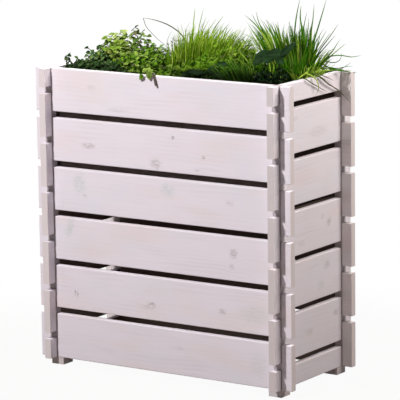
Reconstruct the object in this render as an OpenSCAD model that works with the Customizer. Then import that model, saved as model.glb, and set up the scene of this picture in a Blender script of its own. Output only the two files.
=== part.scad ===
// Tall raised garden bed of notched boards, planted with kitchen herbs.
// Frame: origin on the floor under the middle of the bed, X along the front, Y to the back, Z up.

/* [Bed] */
// Clear length between the two side walls
clear_len = 718; // [600:1:900]
// Clear depth between the front and back walls
clear_depth = 292; // [250:1:420]
// How far front and back boards stand out past the side walls
front_overhang = 32; // [20:1:50]
// How far side boards stand out past the front and back walls
side_overhang = 30; // [20:1:50]

/* [Boards] */
// Height of a full board
board_h = 120; // [100:1:140]
// Thickness of every board
board_t = 20; // [16:0.5:28]
// Open gap between two boards of one wall
board_gap = 18; // [8:1:26]
// How much further down the lowest boards reach
base_drop = 5; // [0:0.5:12]
// Radius of the planed board edges
edge_r = 2.5; // [1:0.5:4]
// Play on each face of a corner notch
notch_play = 0.8; // [0.1:0.1:1]

/* [Feet] */
// Height of the foot blocks
foot_h = 20; // [12:1:40]
// Length of a foot block along the front
foot_len = 41; // [36:1:60]
// Depth of a foot block
foot_depth = 45; // [40:1:60]
// Radius of the upright edges of a foot block
foot_r = 2; // [1:0.5:5]

/* [Planting floor] */
// Course of the front and back walls that carries the floor ledgers
floor_course = 4; // [3:1:4]
// Height of a ledger batten
ledger_h = 30; // [20:1:40]
// Width of a ledger batten
ledger_w = 30; // [22:1:40]
// Height of the ledger above the lower edge of its board
ledger_rise = 6; // [1:1:20]
// Play at each end of a ledger
ledger_play = 1; // [0.5:0.5:4]
// Width of a floor slat
slat_w = 100; // [60:1:110]
// Thickness of a floor slat
slat_t = 20; // [12:1:24]
// Play between the slats and the walls
slat_play = 2; // [1:0.5:6]

/* [Liner and soil] */
// Thickness of the fabric liner
liner_t = 2.5; // [1:0.5:5]
// Play between the liner and the boards
liner_play = 0.3; // [0.1:0.1:1]
// Distance from the rim down to the top of the liner
liner_drop = 20; // [5:1:35]
// Radius of the upright corners of the liner
liner_r = 14; // [6:1:30]
// Distance from the rim down to the soil
soil_drop = 40; // [36:1:80]
// Play between the soil and the liner
soil_play = 0.3; // [0.1:0.1:1]

/* [Screws] */
// Shank diameter of the wood screws
screw_d = 4; // [3:0.5:5]
// Head diameter of the wood screws
head_d = 8; // [7:0.5:10]
// How deep a screw bites into its board
screw_bite = 15; // [10:1:17]
// Depth that a screw head sits below the surface
head_sink = 1; // [0.5:0.5:3]
// Radial play of a screw in its hole
screw_play = 0.15; // [0.1:0.05:0.4]
// Screws along each ledger
ledger_screw_count = 4; // [2:1:6]

/* [Plants] */
// Height of the tall chives above the soil
chives_h = 250; // [150:1:320]
// Height of the grass tuft above the soil
grass_h = 208; // [120:1:260]
// Height of the bent lavender stem above the soil
lavender_h = 170; // [120:1:220]
// Height of the oregano above the soil
oregano_h = 146; // [80:1:180]
// Height of the parsley above the soil
parsley_h = 132; // [80:1:180]
// Height of the dill above the soil
dill_h = 130; // [80:1:180]
// Height of the chervil above the soil
chervil_h = 106; // [70:1:150]
// Height of the mint above the soil
mint_h = 88; // [60:1:110]
// Width of a grass blade at its foot
blade_w = 4; // [3:0.5:6]
// Length of a sage leaf
sage_leaf = 84; // [40:1:90]
// Length of a parsley leaf
parsley_leaf = 32; // [16:1:36]
// Length of a chervil leaf
chervil_leaf = 24; // [14:1:30]
// Length of a dill leaf
dill_leaf = 28; // [16:1:34]
// Length of a mint leaf
mint_leaf = 16; // [10:1:24]
// Height that hanging stems clear the rim by
rim_clear = 6; // [3:1:12]

/* [Hidden] */
eps = 1;
courses = 6;
slat_count = 6;
pitch = board_h + board_gap;
half_pitch = pitch / 2;
// Full boards lap over each other by this much at the corners
notch_d = (board_h - half_pitch) / 2;
// Level that the board pitch counts from
pitch_z = foot_h + base_drop;
rim_z = pitch_z + courses * pitch - board_gap;
// Middle planes of the walls
wall_x = clear_len / 2 + board_t / 2;
wall_y = clear_depth / 2 + board_t / 2;
front_len = clear_len + 2 * (board_t + front_overhang);
side_len = clear_depth + 2 * (board_t + side_overhang);
ledger_z = pitch_z + (floor_course - 1) * pitch + ledger_rise;
slat_z = ledger_z + ledger_h;
liner_z = slat_z + slat_t;
soil_z = rim_z - soil_drop;
foot_x = clear_len / 2 + board_t - foot_len / 2;
foot_y = clear_depth / 2 + board_t - foot_depth / 2;
screw_hole_d = screw_d + 2 * screw_play;
foot_screw_len = foot_h - head_sink + screw_bite;
ledger_screw_len = ledger_w - head_sink + screw_bite;
// Distance of a foot screw from the inner edge of its foot
foot_screw_inset = 9;
ledger_screw_step = (clear_len - 2 * ledger_w) / ledger_screw_count;
// The herbs are set out on a grid of columns along the bed and rows from front to back
column = clear_len / 20;
row = clear_depth / 12;
stem_w = 3;
wood_white = "#e8e1e2";
wood_raw = "#d9c3a0";

// Rectangle with round corners, standing on the X axis
module rounded_rect(w, h, r) {
    translate([-w / 2 + r, 0]) square([w - 2 * r, h]);
    translate([-w / 2, r]) square([w, h - 2 * r]);
    for (x = [-w / 2 + r, w / 2 - r], y = [r, h - r])
        translate([x, y]) circle(r, $fn = 32);
}

// Straight timber along X, standing on z = 0, with planed round edges
module timber(len, thick, high, r) {
    translate([-len / 2, 0, 0])
        rotate([90, 0, 90])
            linear_extrude(len) rounded_rect(thick, high, r);
}

// Wall board along X with a notch at each end that laps over the crossing wall
module notched_board(len, high, cross, low_notch, top_notch) {
    slot = board_t + 2 * notch_play;
    difference() {
        timber(len, board_t, high, edge_r);
        for (x = [-cross, cross]) {
            if (low_notch > 0)
                translate([x - slot / 2, -board_t, -eps]) cube([slot, 2 * board_t, low_notch + eps]);
            if (top_notch > 0)
                translate([x - slot / 2, -board_t, high - top_notch])
                    cube([slot, 2 * board_t, top_notch + eps]);
        }
    }
}

// Board i of a long wall, counted from the floor, in the wall's own plane
module long_board(i) {
    drop = i == 1 ? base_drop : 0;
    translate([0, 0, pitch_z + (i - 1) * pitch - drop])
        notched_board(front_len, board_h + drop, wall_x, notch_d + drop, notch_d);
}

// Board i of a side wall: half boards close it at the bottom and the top
module short_board(i) {
    if (i == 1)
        translate([0, 0, foot_h])
            notched_board(side_len, base_drop + half_pitch - board_gap, wall_y, 0, notch_d);
    else if (i == courses + 1)
        translate([0, 0, rim_z - half_pitch + board_gap])
            notched_board(side_len, half_pitch - board_gap, wall_y, notch_d, 0);
    else
        translate([0, 0, pitch_z + half_pitch + (i - 2) * pitch])
            notched_board(side_len, board_h, wall_y, notch_d, notch_d);
}

// Countersunk wood screw that points up from its head at z = 0
module wood_screw(len) {
    tip = screw_d * 1.6;
    difference() {
        rotate_extrude($fn = 32)
            polygon([[0, 0], [head_d / 2, 0], [screw_d / 2, (head_d - screw_d) / 2],
                [screw_d / 2, len - tip], [0, len]]);
        translate([0, 0, -eps]) cylinder(h = eps + head_d / 5, d = screw_d * 0.8, $fn = 6);
    }
}

// Hole for one wood screw, countersunk where its head is sunk into the surface
module screw_hole(len) {
    translate([0, 0, -head_sink - eps])
        cylinder(h = head_sink + eps, d = head_d + 2 * screw_play, $fn = 32);
    cylinder(h = (head_d - screw_d) / 2, d1 = head_d + 2 * screw_play, d2 = screw_hole_d, $fn = 32);
    cylinder(h = len + screw_play, d = screw_hole_d, $fn = 32);
}

// Places of the two screws in each foot: one under the long wall, one under the side wall
module at_foot_screws() {
    for (sx = [-1, 1], sy = [-1, 1]) {
        translate([sx * (foot_x - foot_len / 2 + foot_screw_inset), sy * wall_y, head_sink]) children();
        translate([sx * wall_x, sy * (foot_y - foot_depth / 2 + foot_screw_inset), head_sink]) children();
    }
}

// Places of the screws along one ledger, driven outwards; side is -1 at the front
module at_ledger_screws(side) {
    for (i = [0:ledger_screw_count - 1])
        translate([(i - (ledger_screw_count - 1) / 2) * ledger_screw_step,
            side * (clear_depth / 2 - ledger_w + head_sink), ledger_z + ledger_h / 2])
            rotate([side * -90, 0, 0]) children();
}

// Long wall board with the holes of the screws that hold feet and ledgers to it
module bored_long_board(side, i) {
    color(wood_white)
        difference() {
            translate([0, side * wall_y, 0]) long_board(i);
            if (i == 1)
                at_foot_screws() screw_hole(foot_screw_len);
            if (i == floor_course)
                at_ledger_screws(side) screw_hole(ledger_screw_len);
        }
}

// Side wall board, with the holes of the foot screws in the lowest one
module bored_short_board(side, i) {
    color(wood_white)
        difference() {
            translate([side * wall_x, 0, 0]) rotate([0, 0, 90]) short_board(i);
            if (i == 1)
                at_foot_screws() screw_hole(foot_screw_len);
        }
}

// Foot block under one corner, flush with the outer faces of both walls
module foot(sx, sy) {
    color(wood_raw)
        difference() {
            translate([sx * foot_x, sy * foot_y - foot_depth / 2, 0])
                linear_extrude(foot_h) rounded_rect(foot_len, foot_depth, foot_r);
            at_foot_screws() screw_hole(foot_screw_len);
        }
}

module foot_screws() {
    color("silver") at_foot_screws() wood_screw(foot_screw_len);
}

// Batten along the inside of a long wall that carries the floor slats
module ledger(side) {
    color(wood_raw)
        difference() {
            translate([0, side * (clear_depth / 2 - ledger_w / 2), ledger_z])
                timber(clear_len - 2 * ledger_play, ledger_w, ledger_h, edge_r);
            at_ledger_screws(side) screw_hole(ledger_screw_len);
        }
}

module ledger_screws() {
    color("silver")
        for (side = [-1, 1])
            at_ledger_screws(side) wood_screw(ledger_screw_len);
}

// Floor slat i across the bed, lying on both ledgers with drainage gaps beside it
module floor_slat(i) {
    step = (clear_len - 2 * slat_play - slat_w) / (slat_count - 1);
    color(wood_raw)
        translate([(i - (slat_count + 1) / 2) * step, 0, slat_z])
            rotate([0, 0, 90]) timber(clear_depth - 2 * slat_play, slat_w, slat_t, edge_r);
}

// Outline of the planting space, drawn in from the boards by a given play
module space_outline(play, r) {
    w = clear_len - 2 * play;
    d = clear_depth - 2 * play;
    translate([0, -d / 2]) rounded_rect(w, d, r);
}

// Open fabric box that holds the soil, lying on the slats
module liner() {
    color("#4a4644")
        translate([0, 0, liner_z])
            difference() {
                linear_extrude(rim_z - liner_drop - liner_z) space_outline(liner_play, liner_r);
                translate([0, 0, liner_t])
                    linear_extrude(rim_z) space_outline(liner_play + liner_t, liner_r - liner_t);
            }
}

module soil() {
    inset = liner_play + liner_t + soil_play;
    color("#2b211b")
        translate([0, 0, liner_z + liner_t])
            linear_extrude(soil_z - liner_z - liner_t)
                space_outline(inset, liner_r - liner_t - soil_play);
}

// Place on the planting grid, h above the soil
function spot(c, r, h = 2) = [c * column, r * row, soil_z + h];
// Point on a quadratic curve from a to c that bends towards b
function bend(a, b, c, t) = (1 - t) * (1 - t) * a + 2 * t * (1 - t) * b + t * t * c;
function unit(v) = v / norm(v);
function side_of(d) = unit(cross(d, [0.31, -0.95, 0.05]));

// Blade or stem: a three-sided taper along a curve from a, bending towards b, to c
module blade(a, b, c, w, rings = 5) {
    pts = [
        for (i = [0:rings])
            let (t = i / rings, p = bend(a, b, c, t))
            let (d = unit(bend(a, b, c, t + 0.01) - bend(a, b, c, t - 0.01)))
            let (s = side_of(d), n = cross(d, s), hw = w / 2 * (1 - 0.85 * t))
            for (q = [[-1, -0.5], [1, -0.5], [0, 1]]) p + hw * (q[0] * s + q[1] * n)
    ];
    walls = [
        for (i = [0:rings - 1], k = [0:2])
            let (m = (k + 1) % 3, lo = 3 * i, hi = 3 * i + 3)
            for (f = [[lo + k, hi + m, lo + m], [lo + k, hi + k, hi + m]]) f
    ];
    ends = [[0, 1, 2], [3 * rings, 3 * rings + 2, 3 * rings + 1]];
    polyhedron(pts, concat(walls, ends), convexity = 4);
}

// Leaf: a thin pointed plate from p along d, its face towards up
module leaf(p, d, up, len, w) {
    f = unit(d);
    s = unit(cross(f, up));
    n = cross(s, f);
    m = p + f * len * 0.45;
    pts = [p - f * 1.5, p + f * len, m + s * w / 2, m - s * w / 2, m + n * 1.6, m - n * 1.2];
    polyhedron(pts, [[0, 4, 2], [0, 3, 4], [1, 2, 4], [1, 4, 3], [0, 2, 5], [0, 5, 3], [1, 5, 2], [1, 3, 5]]);
}

// Leaf of three lobes that open like a fan, as one thin plate
module lobed_leaf(p, d, len, w) {
    f = unit(d);
    s = unit(cross(f, [0, 0, 1]));
    n = cross(s, f);
    pts = [
        p - f * 1.5, p + (0.5 * f + 0.65 * s) * len, p + (0.5 * f + 0.5 * w / len * s) * len, p + f * len,
        p + (0.5 * f - 0.5 * w / len * s) * len, p + (0.5 * f - 0.65 * s) * len,
        p + 0.4 * len * f + n * 1.6, p + 0.4 * len * f - n * 1.2
    ];
    polyhedron(pts, [for (i = [0:5], t = [[6, (i + 1) % 6, i], [7, i, (i + 1) % 6]]) t]);
}

// Stem with pairs of leaves, each pair turned a quarter from the one below
module leafy_stem(a, b, c, pairs, len, leaf_w, lobed) {
    blade(a, b, c, stem_w, 2);
    for (i = [1:pairs]) {
        t = 0.25 + 0.75 * i / pairs - 0.05;
        p = bend(a, b, c, t);
        turn = 90 * (i % 2) + 35;
        reach = len * (1.15 - 0.35 * t);
        for (side = [0, 180])
            let (d = [cos(turn + side), sin(turn + side), 0.45])
            if (lobed)
                lobed_leaf(p, d, reach, leaf_w * reach / len);
            else
                leaf(p, d, [0, 0, 1], reach, leaf_w * reach / len);
    }
}

// Low crown of leaf bases on the soil, which the stems of one plant rise from
module crown(c, r, radius) {
    translate(spot(c, r, 0))
        rotate_extrude($fn = 24)
            polygon([[0, 0], [radius, 0], [radius * 0.8, 6], [radius * 0.4, 8], [0, 8]]);
}

// Tuft of blades fanned out from a crown. lean tilts the whole tuft, spread opens it.
module tuft(c, r, count, high, radius, spread, lean, seed) {
    mix = rands(0, 1, 2 * count, seed);
    crown(c, r, radius);
    for (i = [0:count - 1]) {
        turn = 137.5 * i;
        out = sqrt((i + 0.5) / count);
        foot = spot(c, r) + 0.8 * radius * out * [cos(turn), sin(turn), 0];
        tall = high * (1 - 0.35 * mix[i] * out);
        reach = spread * out * (0.7 + 0.3 * mix[count + i]);
        tip = foot + [reach * cos(turn) + lean[0], reach * sin(turn) * 0.45 + lean[1], tall];
        blade(foot, foot + [0.2 * (tip[0] - foot[0]), 0.2 * (tip[1] - foot[1]), 0.6 * tall], tip, blade_w);
    }
}

// Cushion of leafy stems fanned out from a crown, lower towards its edge
module cushion(c, r, count, high, spread, deep, pairs, len, leaf_w, seed, lobed = false) {
    mix = rands(0.85, 1, count, seed);
    crown(c, r, 0.45 * deep);
    for (i = [0:count - 1]) {
        turn = 137.5 * i + 20;
        out = sqrt((i + 0.3) / count);
        foot = spot(c, r) + 0.3 * deep * out * [cos(turn), sin(turn), 0];
        tall = (high - 0.4 * len) * mix[i] * sqrt(1 - 0.5 * out * out);
        tip = foot + [(spread - 0.3 * deep) * out * cos(turn), 0.7 * deep * out * sin(turn), tall];
        leafy_stem(foot, foot + [0, 0, 0.6 * tall], tip, pairs, len, leaf_w, lobed);
    }
}

// Dark small-leaved mint along the left part of the front rim
module mint_plant() {
    color("#2f5a3a")
        for (m = [[-8.5, -4.1, 0.72], [-7.5, -4.1, 0.88], [-6.5, -4.1, 0.9], [-5.5, -4.2, 0.78], [-8.3, -2, 1],
            [-6.9, -2.2, 0.9]])
            cushion(m[0], m[1], 4, mint_h * m[2], 34, 28, 2, mint_leaf, 8, 3 + m[0]);
}

// Light flat parsley behind the mint, with leaves of three lobes
module parsley_plant() {
    color("#6fa33c") {
        cushion(-7.7, 0.2, 7, parsley_h, 40, 32, 1, parsley_leaf, 14, 5, true);
        cushion(-6, 0.5, 6, 0.95 * parsley_h, 34, 28, 1, parsley_leaf, 14, 9, true);
    }
}

// Oregano with dark upright sprigs between the parsley and the chervil
module oregano_plant() {
    color("#4f7a3c") {
        cushion(-4.9, 0.6, 3, oregano_h, 22, 20, 4, mint_leaf, 8, 7);
        cushion(-4, 0.9, 2, 0.8 * oregano_h, 18, 18, 3, mint_leaf, 8, 9);
    }
}

// Chervil with one sprig that hangs over the front rim
module chervil_plant() {
    // The sprig passes over the rim and hangs down in front of the wall
    root = spot(-2.6, -3.2);
    over = [root[0] + 0.8 * column, -clear_depth / 2 - board_t, rim_z + 3 * rim_clear + 26];
    hang = [root[0] + 2.2 * column, -clear_depth / 2 - board_t - 14, rim_z - 22];
    color("#4e8a35") {
        for (m = [[-4.3, -2.3, 0.85], [-3.1, -3.2, 0.88], [-1.8, -3.4, 0.78], [-2.9, -1.1, 1], [-1.3, -1.6, 0.95]])
            cushion(m[0], m[1], 3, chervil_h * m[2], 38, 30, 2, chervil_leaf, 8, 8 + m[0], true);
        crown(-2.6, -3.2, 8);
        blade(root, over, hang, stem_w + 1, 8);
        for (t = [0.62, 0.72, 0.82])
            let (p = bend(root, over, hang, t))
            for (s = [-1, 1])
                leaf(p, [s, -0.2, 0.3], [0, -0.3, 1], mint_leaf + 3, 11);
    }
}

// Thin lavender stems with small buds, one of them long and bent over
module lavender_plant() {
    base = spot(-1.6, 1.6);
    foot = spot(0.9, 1.4);
    top = spot(-4.6, 1.4, lavender_h);
    color("#7f7f8c") {
        crown(-1.6, 1.6, 14);
        crown(0.9, 1.4, 5);
        for (i = [0:6]) {
            root = base + [3 * (i - 3), 4 * (i % 2), 0];
            tip = base + [9 * (i - 3), 8 * (i % 2), 100 + 13 * (i % 4)];
            blade(root, (root + tip) / 2 + [0, 0, 10], tip, stem_w);
            leaf(tip - [0, 0, 14], [0.1 * (i - 3), 0, 1], [0, 1, 0], 20, 6);
        }
        blade(foot, [foot[0] - 1.5 * column, foot[1], top[2] + 0.15 * lavender_h], top, stem_w, 8);
    }
}

// Yellow-green grass in the middle of the bed
module grass_tuft() {
    color("#93b53c") {
        tuft(1.3, -0.4, 44, grass_h, 30, 84, [2, -2], 11);
        tuft(-0.3, -1.2, 12, 0.62 * grass_h, 18, 44, [-12, 0], 12);
    }
}

// Feathery dill beside the grass
module dill_plant() {
    color("#5d9a3a") {
        cushion(3.4, -0.8, 6, dill_h, 38, 32, 3, dill_leaf, 5, 14);
        cushion(4.3, 1.6, 6, dill_h, 36, 32, 3, dill_leaf, 5, 15);
    }
}

// Sage with broad dark leaves near the right end, and a low row of leaves along the front rim
module sage_plant() {
    // Heading, slope and share of the full leaf length, from the lowest leaf to the highest
    leaves = [[-28, -0.25, 0.7], [200, 0.1, 0.55], [-10, -0.1, 0.75], [150, 0.3, 0.5], [4, 0.15, 1],
        [12, 0.3, 0.85], [28, 0.8, 0.7]];
    color("#3c5a4a") {
        cushion(7.6, -2.8, 4, 0.75 * sage_leaf, 34, 26, 2, 0.25 * sage_leaf, 11, 23);
        cushion(2.7, -4.4, 4, 0.5 * sage_leaf, 44, 16, 2, 0.3 * sage_leaf, 11, 24);
        for (i = [0:6]) {
            root = spot(7.6, -2.8) + [6 * cos(52 * i), 6 * sin(52 * i), 0];
            knee = root + [8 * cos(52 * i) - 18, 8 * sin(52 * i), 0.85 * sage_leaf + 5 * i];
            blade(root, (root + knee) / 2 + [0, 0, 8], knee, stem_w + 1, 3);
            leaf(knee, [cos(leaves[i][0]), sin(leaves[i][0]), leaves[i][1]], [0.3, -0.6, 1],
                sage_leaf * leaves[i][2], 0.5 * sage_leaf * leaves[i][2]);
        }
    }
}

// Fine chives that arch towards the front rim
module chives_front() {
    color("#5f9e3a") {
        tuft(4.3, -3.5, 26, 0.42 * chives_h, 26, 52, [14, -4], 17);
        tuft(5.8, -3.9, 10, 0.32 * chives_h, 16, 30, [10, 0], 18);
        tuft(5.4, -1.3, 10, 0.46 * chives_h, 20, 40, [0, 0], 19);
    }
}

// Chives that lean to the left behind the sage
module chives_middle() {
    color("#6aa840") {
        tuft(6.9, 2.4, 24, 0.84 * chives_h, 26, 46, [-60, 0], 21);
        tuft(6.3, 0.4, 10, 0.54 * chives_h, 18, 36, [-30, 0], 22);
    }
}

// Tall chives in the back right corner, some of which hang out over the side wall
module chives_right() {
    out_x = clear_len / 2 + board_t;
    color("#579a36") {
        tuft(8.6, 3, 34, chives_h, 32, 58, [6, 0], 25);
        tuft(9, 0.7, 10, 0.46 * chives_h, 16, 30, [8, 0], 26);
        // Blades that lean out past the side wall
        for (i = [0:4]) {
            root = spot(9.1, 2.2 + 0.4 * i);
            tip = [out_x + 20 + 2 * (i % 3), (2.6 + 0.8 * i) * row, soil_z + chives_h * (0.68 - 0.08 * i)];
            blade(root, root + [10, 0, 0.8 * (tip[2] - root[2])], tip, blade_w, 6);
        }
        // Blades that hang down outside it
        for (i = [0:5]) {
            root = spot(9, 0.2 + 0.6 * i);
            tip = [out_x + 14 + 2.5 * i, (1.4 * i - 0.4) * row, rim_z - 44 + 12 * ((i * 3) % 5)];
            over = [out_x - 6, (root[1] + tip[1]) / 2, rim_z + 9 * rim_clear + 20];
            blade(root, over, tip, blade_w, 8);
        }
    }
}

bored_long_board(-1, 1);  // front_board_1
bored_long_board(-1, 2);  // front_board_2
bored_long_board(-1, 3);  // front_board_3
bored_long_board(-1, 4);  // front_board_4
bored_long_board(-1, 5);  // front_board_5
bored_long_board(-1, 6);  // front_board_6
bored_long_board(1, 1);  // back_board_1
bored_long_board(1, 2);  // back_board_2
bored_long_board(1, 3);  // back_board_3
bored_long_board(1, 4);  // back_board_4
bored_long_board(1, 5);  // back_board_5
bored_long_board(1, 6);  // back_board_6
bored_short_board(-1, 1);  // left_board_1
bored_short_board(-1, 2);  // left_board_2
bored_short_board(-1, 3);  // left_board_3
bored_short_board(-1, 4);  // left_board_4
bored_short_board(-1, 5);  // left_board_5
bored_short_board(-1, 6);  // left_board_6
bored_short_board(-1, 7);  // left_board_7
bored_short_board(1, 1);  // right_board_1
bored_short_board(1, 2);  // right_board_2
bored_short_board(1, 3);  // right_board_3
bored_short_board(1, 4);  // right_board_4
bored_short_board(1, 5);  // right_board_5
bored_short_board(1, 6);  // right_board_6
bored_short_board(1, 7);  // right_board_7
foot(-1, -1);  // foot_front_left
foot(1, -1);  // foot_front_right
foot(-1, 1);  // foot_back_left
foot(1, 1);  // foot_back_right
foot_screws();
ledger(-1);  // ledger_front
ledger(1);  // ledger_back
ledger_screws();
floor_slat(1);  // floor_slat_1
floor_slat(2);  // floor_slat_2
floor_slat(3);  // floor_slat_3
floor_slat(4);  // floor_slat_4
floor_slat(5);  // floor_slat_5
floor_slat(6);  // floor_slat_6
liner();
soil();
mint_plant();
parsley_plant();
oregano_plant();
chervil_plant();
lavender_plant();
grass_tuft();
dill_plant();
sage_plant();
chives_front();
chives_middle();
chives_right();
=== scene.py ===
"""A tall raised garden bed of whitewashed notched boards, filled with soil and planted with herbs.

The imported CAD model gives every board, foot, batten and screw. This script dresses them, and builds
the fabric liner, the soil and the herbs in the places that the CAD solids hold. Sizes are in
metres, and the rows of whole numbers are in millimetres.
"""

import logging
import math
import random
from dataclasses import dataclass, field
from enum import Enum
from typing import Callable, Iterator, Sequence, Union

import bpy
import numpy as np
from mathutils import Matrix, Vector, noise

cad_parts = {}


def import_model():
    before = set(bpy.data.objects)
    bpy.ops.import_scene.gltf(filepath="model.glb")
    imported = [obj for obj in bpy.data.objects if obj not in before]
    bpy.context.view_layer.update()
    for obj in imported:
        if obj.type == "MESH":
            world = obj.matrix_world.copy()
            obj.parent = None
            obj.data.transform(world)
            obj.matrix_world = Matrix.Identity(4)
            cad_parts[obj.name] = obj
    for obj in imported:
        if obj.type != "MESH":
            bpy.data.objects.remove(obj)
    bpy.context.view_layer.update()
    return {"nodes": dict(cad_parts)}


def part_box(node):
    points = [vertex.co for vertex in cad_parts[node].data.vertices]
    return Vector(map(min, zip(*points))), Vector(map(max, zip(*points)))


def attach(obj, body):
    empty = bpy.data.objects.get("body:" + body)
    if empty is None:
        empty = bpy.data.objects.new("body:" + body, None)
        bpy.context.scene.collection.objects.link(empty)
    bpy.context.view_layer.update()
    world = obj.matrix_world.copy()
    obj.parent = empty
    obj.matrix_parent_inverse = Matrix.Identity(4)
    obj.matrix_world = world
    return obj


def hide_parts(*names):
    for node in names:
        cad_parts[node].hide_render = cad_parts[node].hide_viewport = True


log = logging.getLogger("garden_bed")

Colour = tuple[float, float, float]
Spot = tuple[float, float, float]
Box = tuple[Vector, Vector]
Path = Sequence[Vector]
Value = Union["Sock", float, int, Sequence[float]]
Piece = bpy.types.Object
Material = bpy.types.Material

BODY = "root"
MM = 1000.0  # millimetres in a metre
ROOT = -0.004  # where stems start, against the soil level
SPIRAL = math.radians(137.5)  # the turn from one shoot to the next
NEAR = 1e-3  # how close a point counts as being at a place
LYING = (-math.pi / 2, 0.0, 0.0)  # lays a round shape's axis along Y
MIDDLE = (0.0, 0.5, 0.0)  # the middle of a shape that runs from y = 0 to y = 1
WHITE = (1.0, 1.0, 1.0, 1.0)


def rgba(colour: Sequence[float]) -> tuple[float, float, float, float]:
    """The colour as a shader's four numbers."""
    return (*colour, 1.0)


def operator(operation: str, swapped: bool = False) -> Callable[..., "Sock"]:
    """Makes a method of Sock that adds a Math node.

    Args:
        operation: Blender's name of the operation.
        swapped: Whether the other value comes first.

    Returns:
        The method.
    """
    def method(self: "Sock", *others: Value) -> "Sock":
        values = dict(enumerate((*others, self) if swapped else (self, *others)))
        return self.painter.node("ShaderNodeMath", {"operation": operation}, values)
    return method


class Sock:
    """An output socket of a shader node that takes part in arithmetic."""

    def __init__(self, painter: "Painter", socket: bpy.types.NodeSocket) -> None:
        """Keeps the socket and the painter that its nodes are added to."""
        self.painter = painter
        self.socket = socket

    __add__ = __radd__ = operator("ADD")
    __sub__ = operator("SUBTRACT")
    __rsub__ = operator("SUBTRACT", swapped=True)
    __mul__ = __rmul__ = operator("MULTIPLY")
    __truediv__ = operator("DIVIDE")
    __abs__ = operator("ABSOLUTE")
    sine = operator("SINE")
    root = operator("SQRT")
    highest = operator("MAXIMUM")

    def rise(self, low: float, high: float) -> "Sock":
        """A smooth step, 0 at low and 1 at high. High may be below low, for a step down."""
        span = {"Value": self, "From Min": low, "From Max": high}
        return self.painter.node("ShaderNodeMapRange", {"interpolation_type": "SMOOTHSTEP"}, span)

    def waves(self) -> "Sock":
        """Even waves from 0 to 1, one for each turn of self in radians."""
        return self.sine() * 0.5 + 0.5


class Painter:
    """Builds the node tree of one material, or of the sky."""

    def __init__(self, name: str, holder: bpy.types.ID | None = None) -> None:
        """Starts with an empty node tree.

        Args:
            name: Name of the new material.
            holder: A world or material whose tree is used instead.
        """
        self.material = holder or bpy.data.materials.new(name)
        self.material.use_nodes = True
        self.tree = self.material.node_tree
        self.tree.nodes.clear()

    def node(self, kind: str, settings: dict | None = None, inputs: dict | None = None,
             out: int | str = 0) -> Sock:
        """Adds a node.

        Args:
            kind: Blender's name of the node type.
            settings: Properties of the node, set first.
            inputs: Values or sockets, by input name or number.
            out: The output that is returned.

        Returns:
            The chosen output.
        """
        made = self.tree.nodes.new(kind)
        for key, value in (settings or {}).items():
            setattr(made, key, value)
        for key, value in (inputs or {}).items():
            if isinstance(value, Sock):
                self.tree.links.new(value.socket, made.inputs[key])
            else:
                made.inputs[key].default_value = value
        return Sock(self, made.outputs[out])

    def coordinates(self, kind: str = "Object") -> tuple[Sock, Sock, Sock]:
        """Object or Normal coordinates as three numbers.

        Args:
            kind: Object or Normal.

        Returns:
            The coordinates.
        """
        where = self.node("ShaderNodeTexCoord", out=kind)
        parts = self.node("ShaderNodeSeparateXYZ", inputs={0: where})
        return tuple(Sock(self, output) for output in parts.socket.node.outputs)

    def cloud(self, place: Sequence[Sock], scales: Sequence[float], shifts: Sequence[float] = (),
              detail: float = 2.0, rough: float = 0.5) -> Sock:
        """Adds noise.

        Args:
            place: The three coordinates that it follows.
            scales: Its grains to the metre along each, or one number for all.
            shifts: What is added along each, so that pieces differ.
            detail: How many finer layers it has.
            rough: How strong these are.

        Returns:
            The noise, from 0 to 1.
        """
        where = [part * scale for part, scale in zip(place, tuple(scales) * (4 - len(scales)))]
        where = [part + shift for part, shift in zip(where, shifts)] if shifts else where
        vector = self.node("ShaderNodeCombineXYZ", inputs=dict(enumerate(where)))
        inputs = {"Vector": vector, "Scale": 1.0, "Detail": detail, "Roughness": rough}
        return self.node("ShaderNodeTexNoise", inputs=inputs, out="Fac")

    def blend(self, share: Value, low: Value, high: Value) -> Sock:
        """The colour low, with this share of the colour high mixed in."""
        low, high = (value if isinstance(value, Sock) else rgba(value) for value in (low, high))
        return self.node("ShaderNodeMix", {"data_type": "RGBA"}, {0: share, 6: low, 7: high}, out=2)

    def attribute(self, name: str) -> Sock:
        """A number stored on the piece's own mesh."""
        return self.node("ShaderNodeAttribute", {"attribute_name": name}, out="Fac")

    def finish(self, base: Sock, rough: Value, bump: Sequence = (), **extra: Value) -> Material:
        """Closes the tree with a Principled shader.

        Args:
            base: Base colour.
            rough: Roughness.
            bump: A height, its size in metres and its strength.
            extra: Metallic or the mirror level, specular.

        Returns:
            The material.
        """
        names = {"metallic": "Metallic", "specular": "Specular IOR Level"}
        inputs = {"Base Color": base, "Roughness": rough}
        inputs.update({names[key]: value for key, value in extra.items()})
        if bump:
            heights = dict(zip(("Height", "Distance", "Strength"), bump))
            inputs["Normal"] = self.node("ShaderNodeBump", inputs=heights)
        self.output(self.node("ShaderNodeBsdfPrincipled", inputs=inputs))
        return self.material

    def output(self, shader: Sock, kind: str = "ShaderNodeOutputMaterial") -> None:
        """Links a shader to the surface output."""
        output = self.tree.nodes.new(kind)
        self.tree.links.new(shader.socket, output.inputs["Surface"])


class Grain(Enum):
    """Which way the fibres of a timber run."""

    ALONG_X = 0
    ALONG_Y = 1


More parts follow.
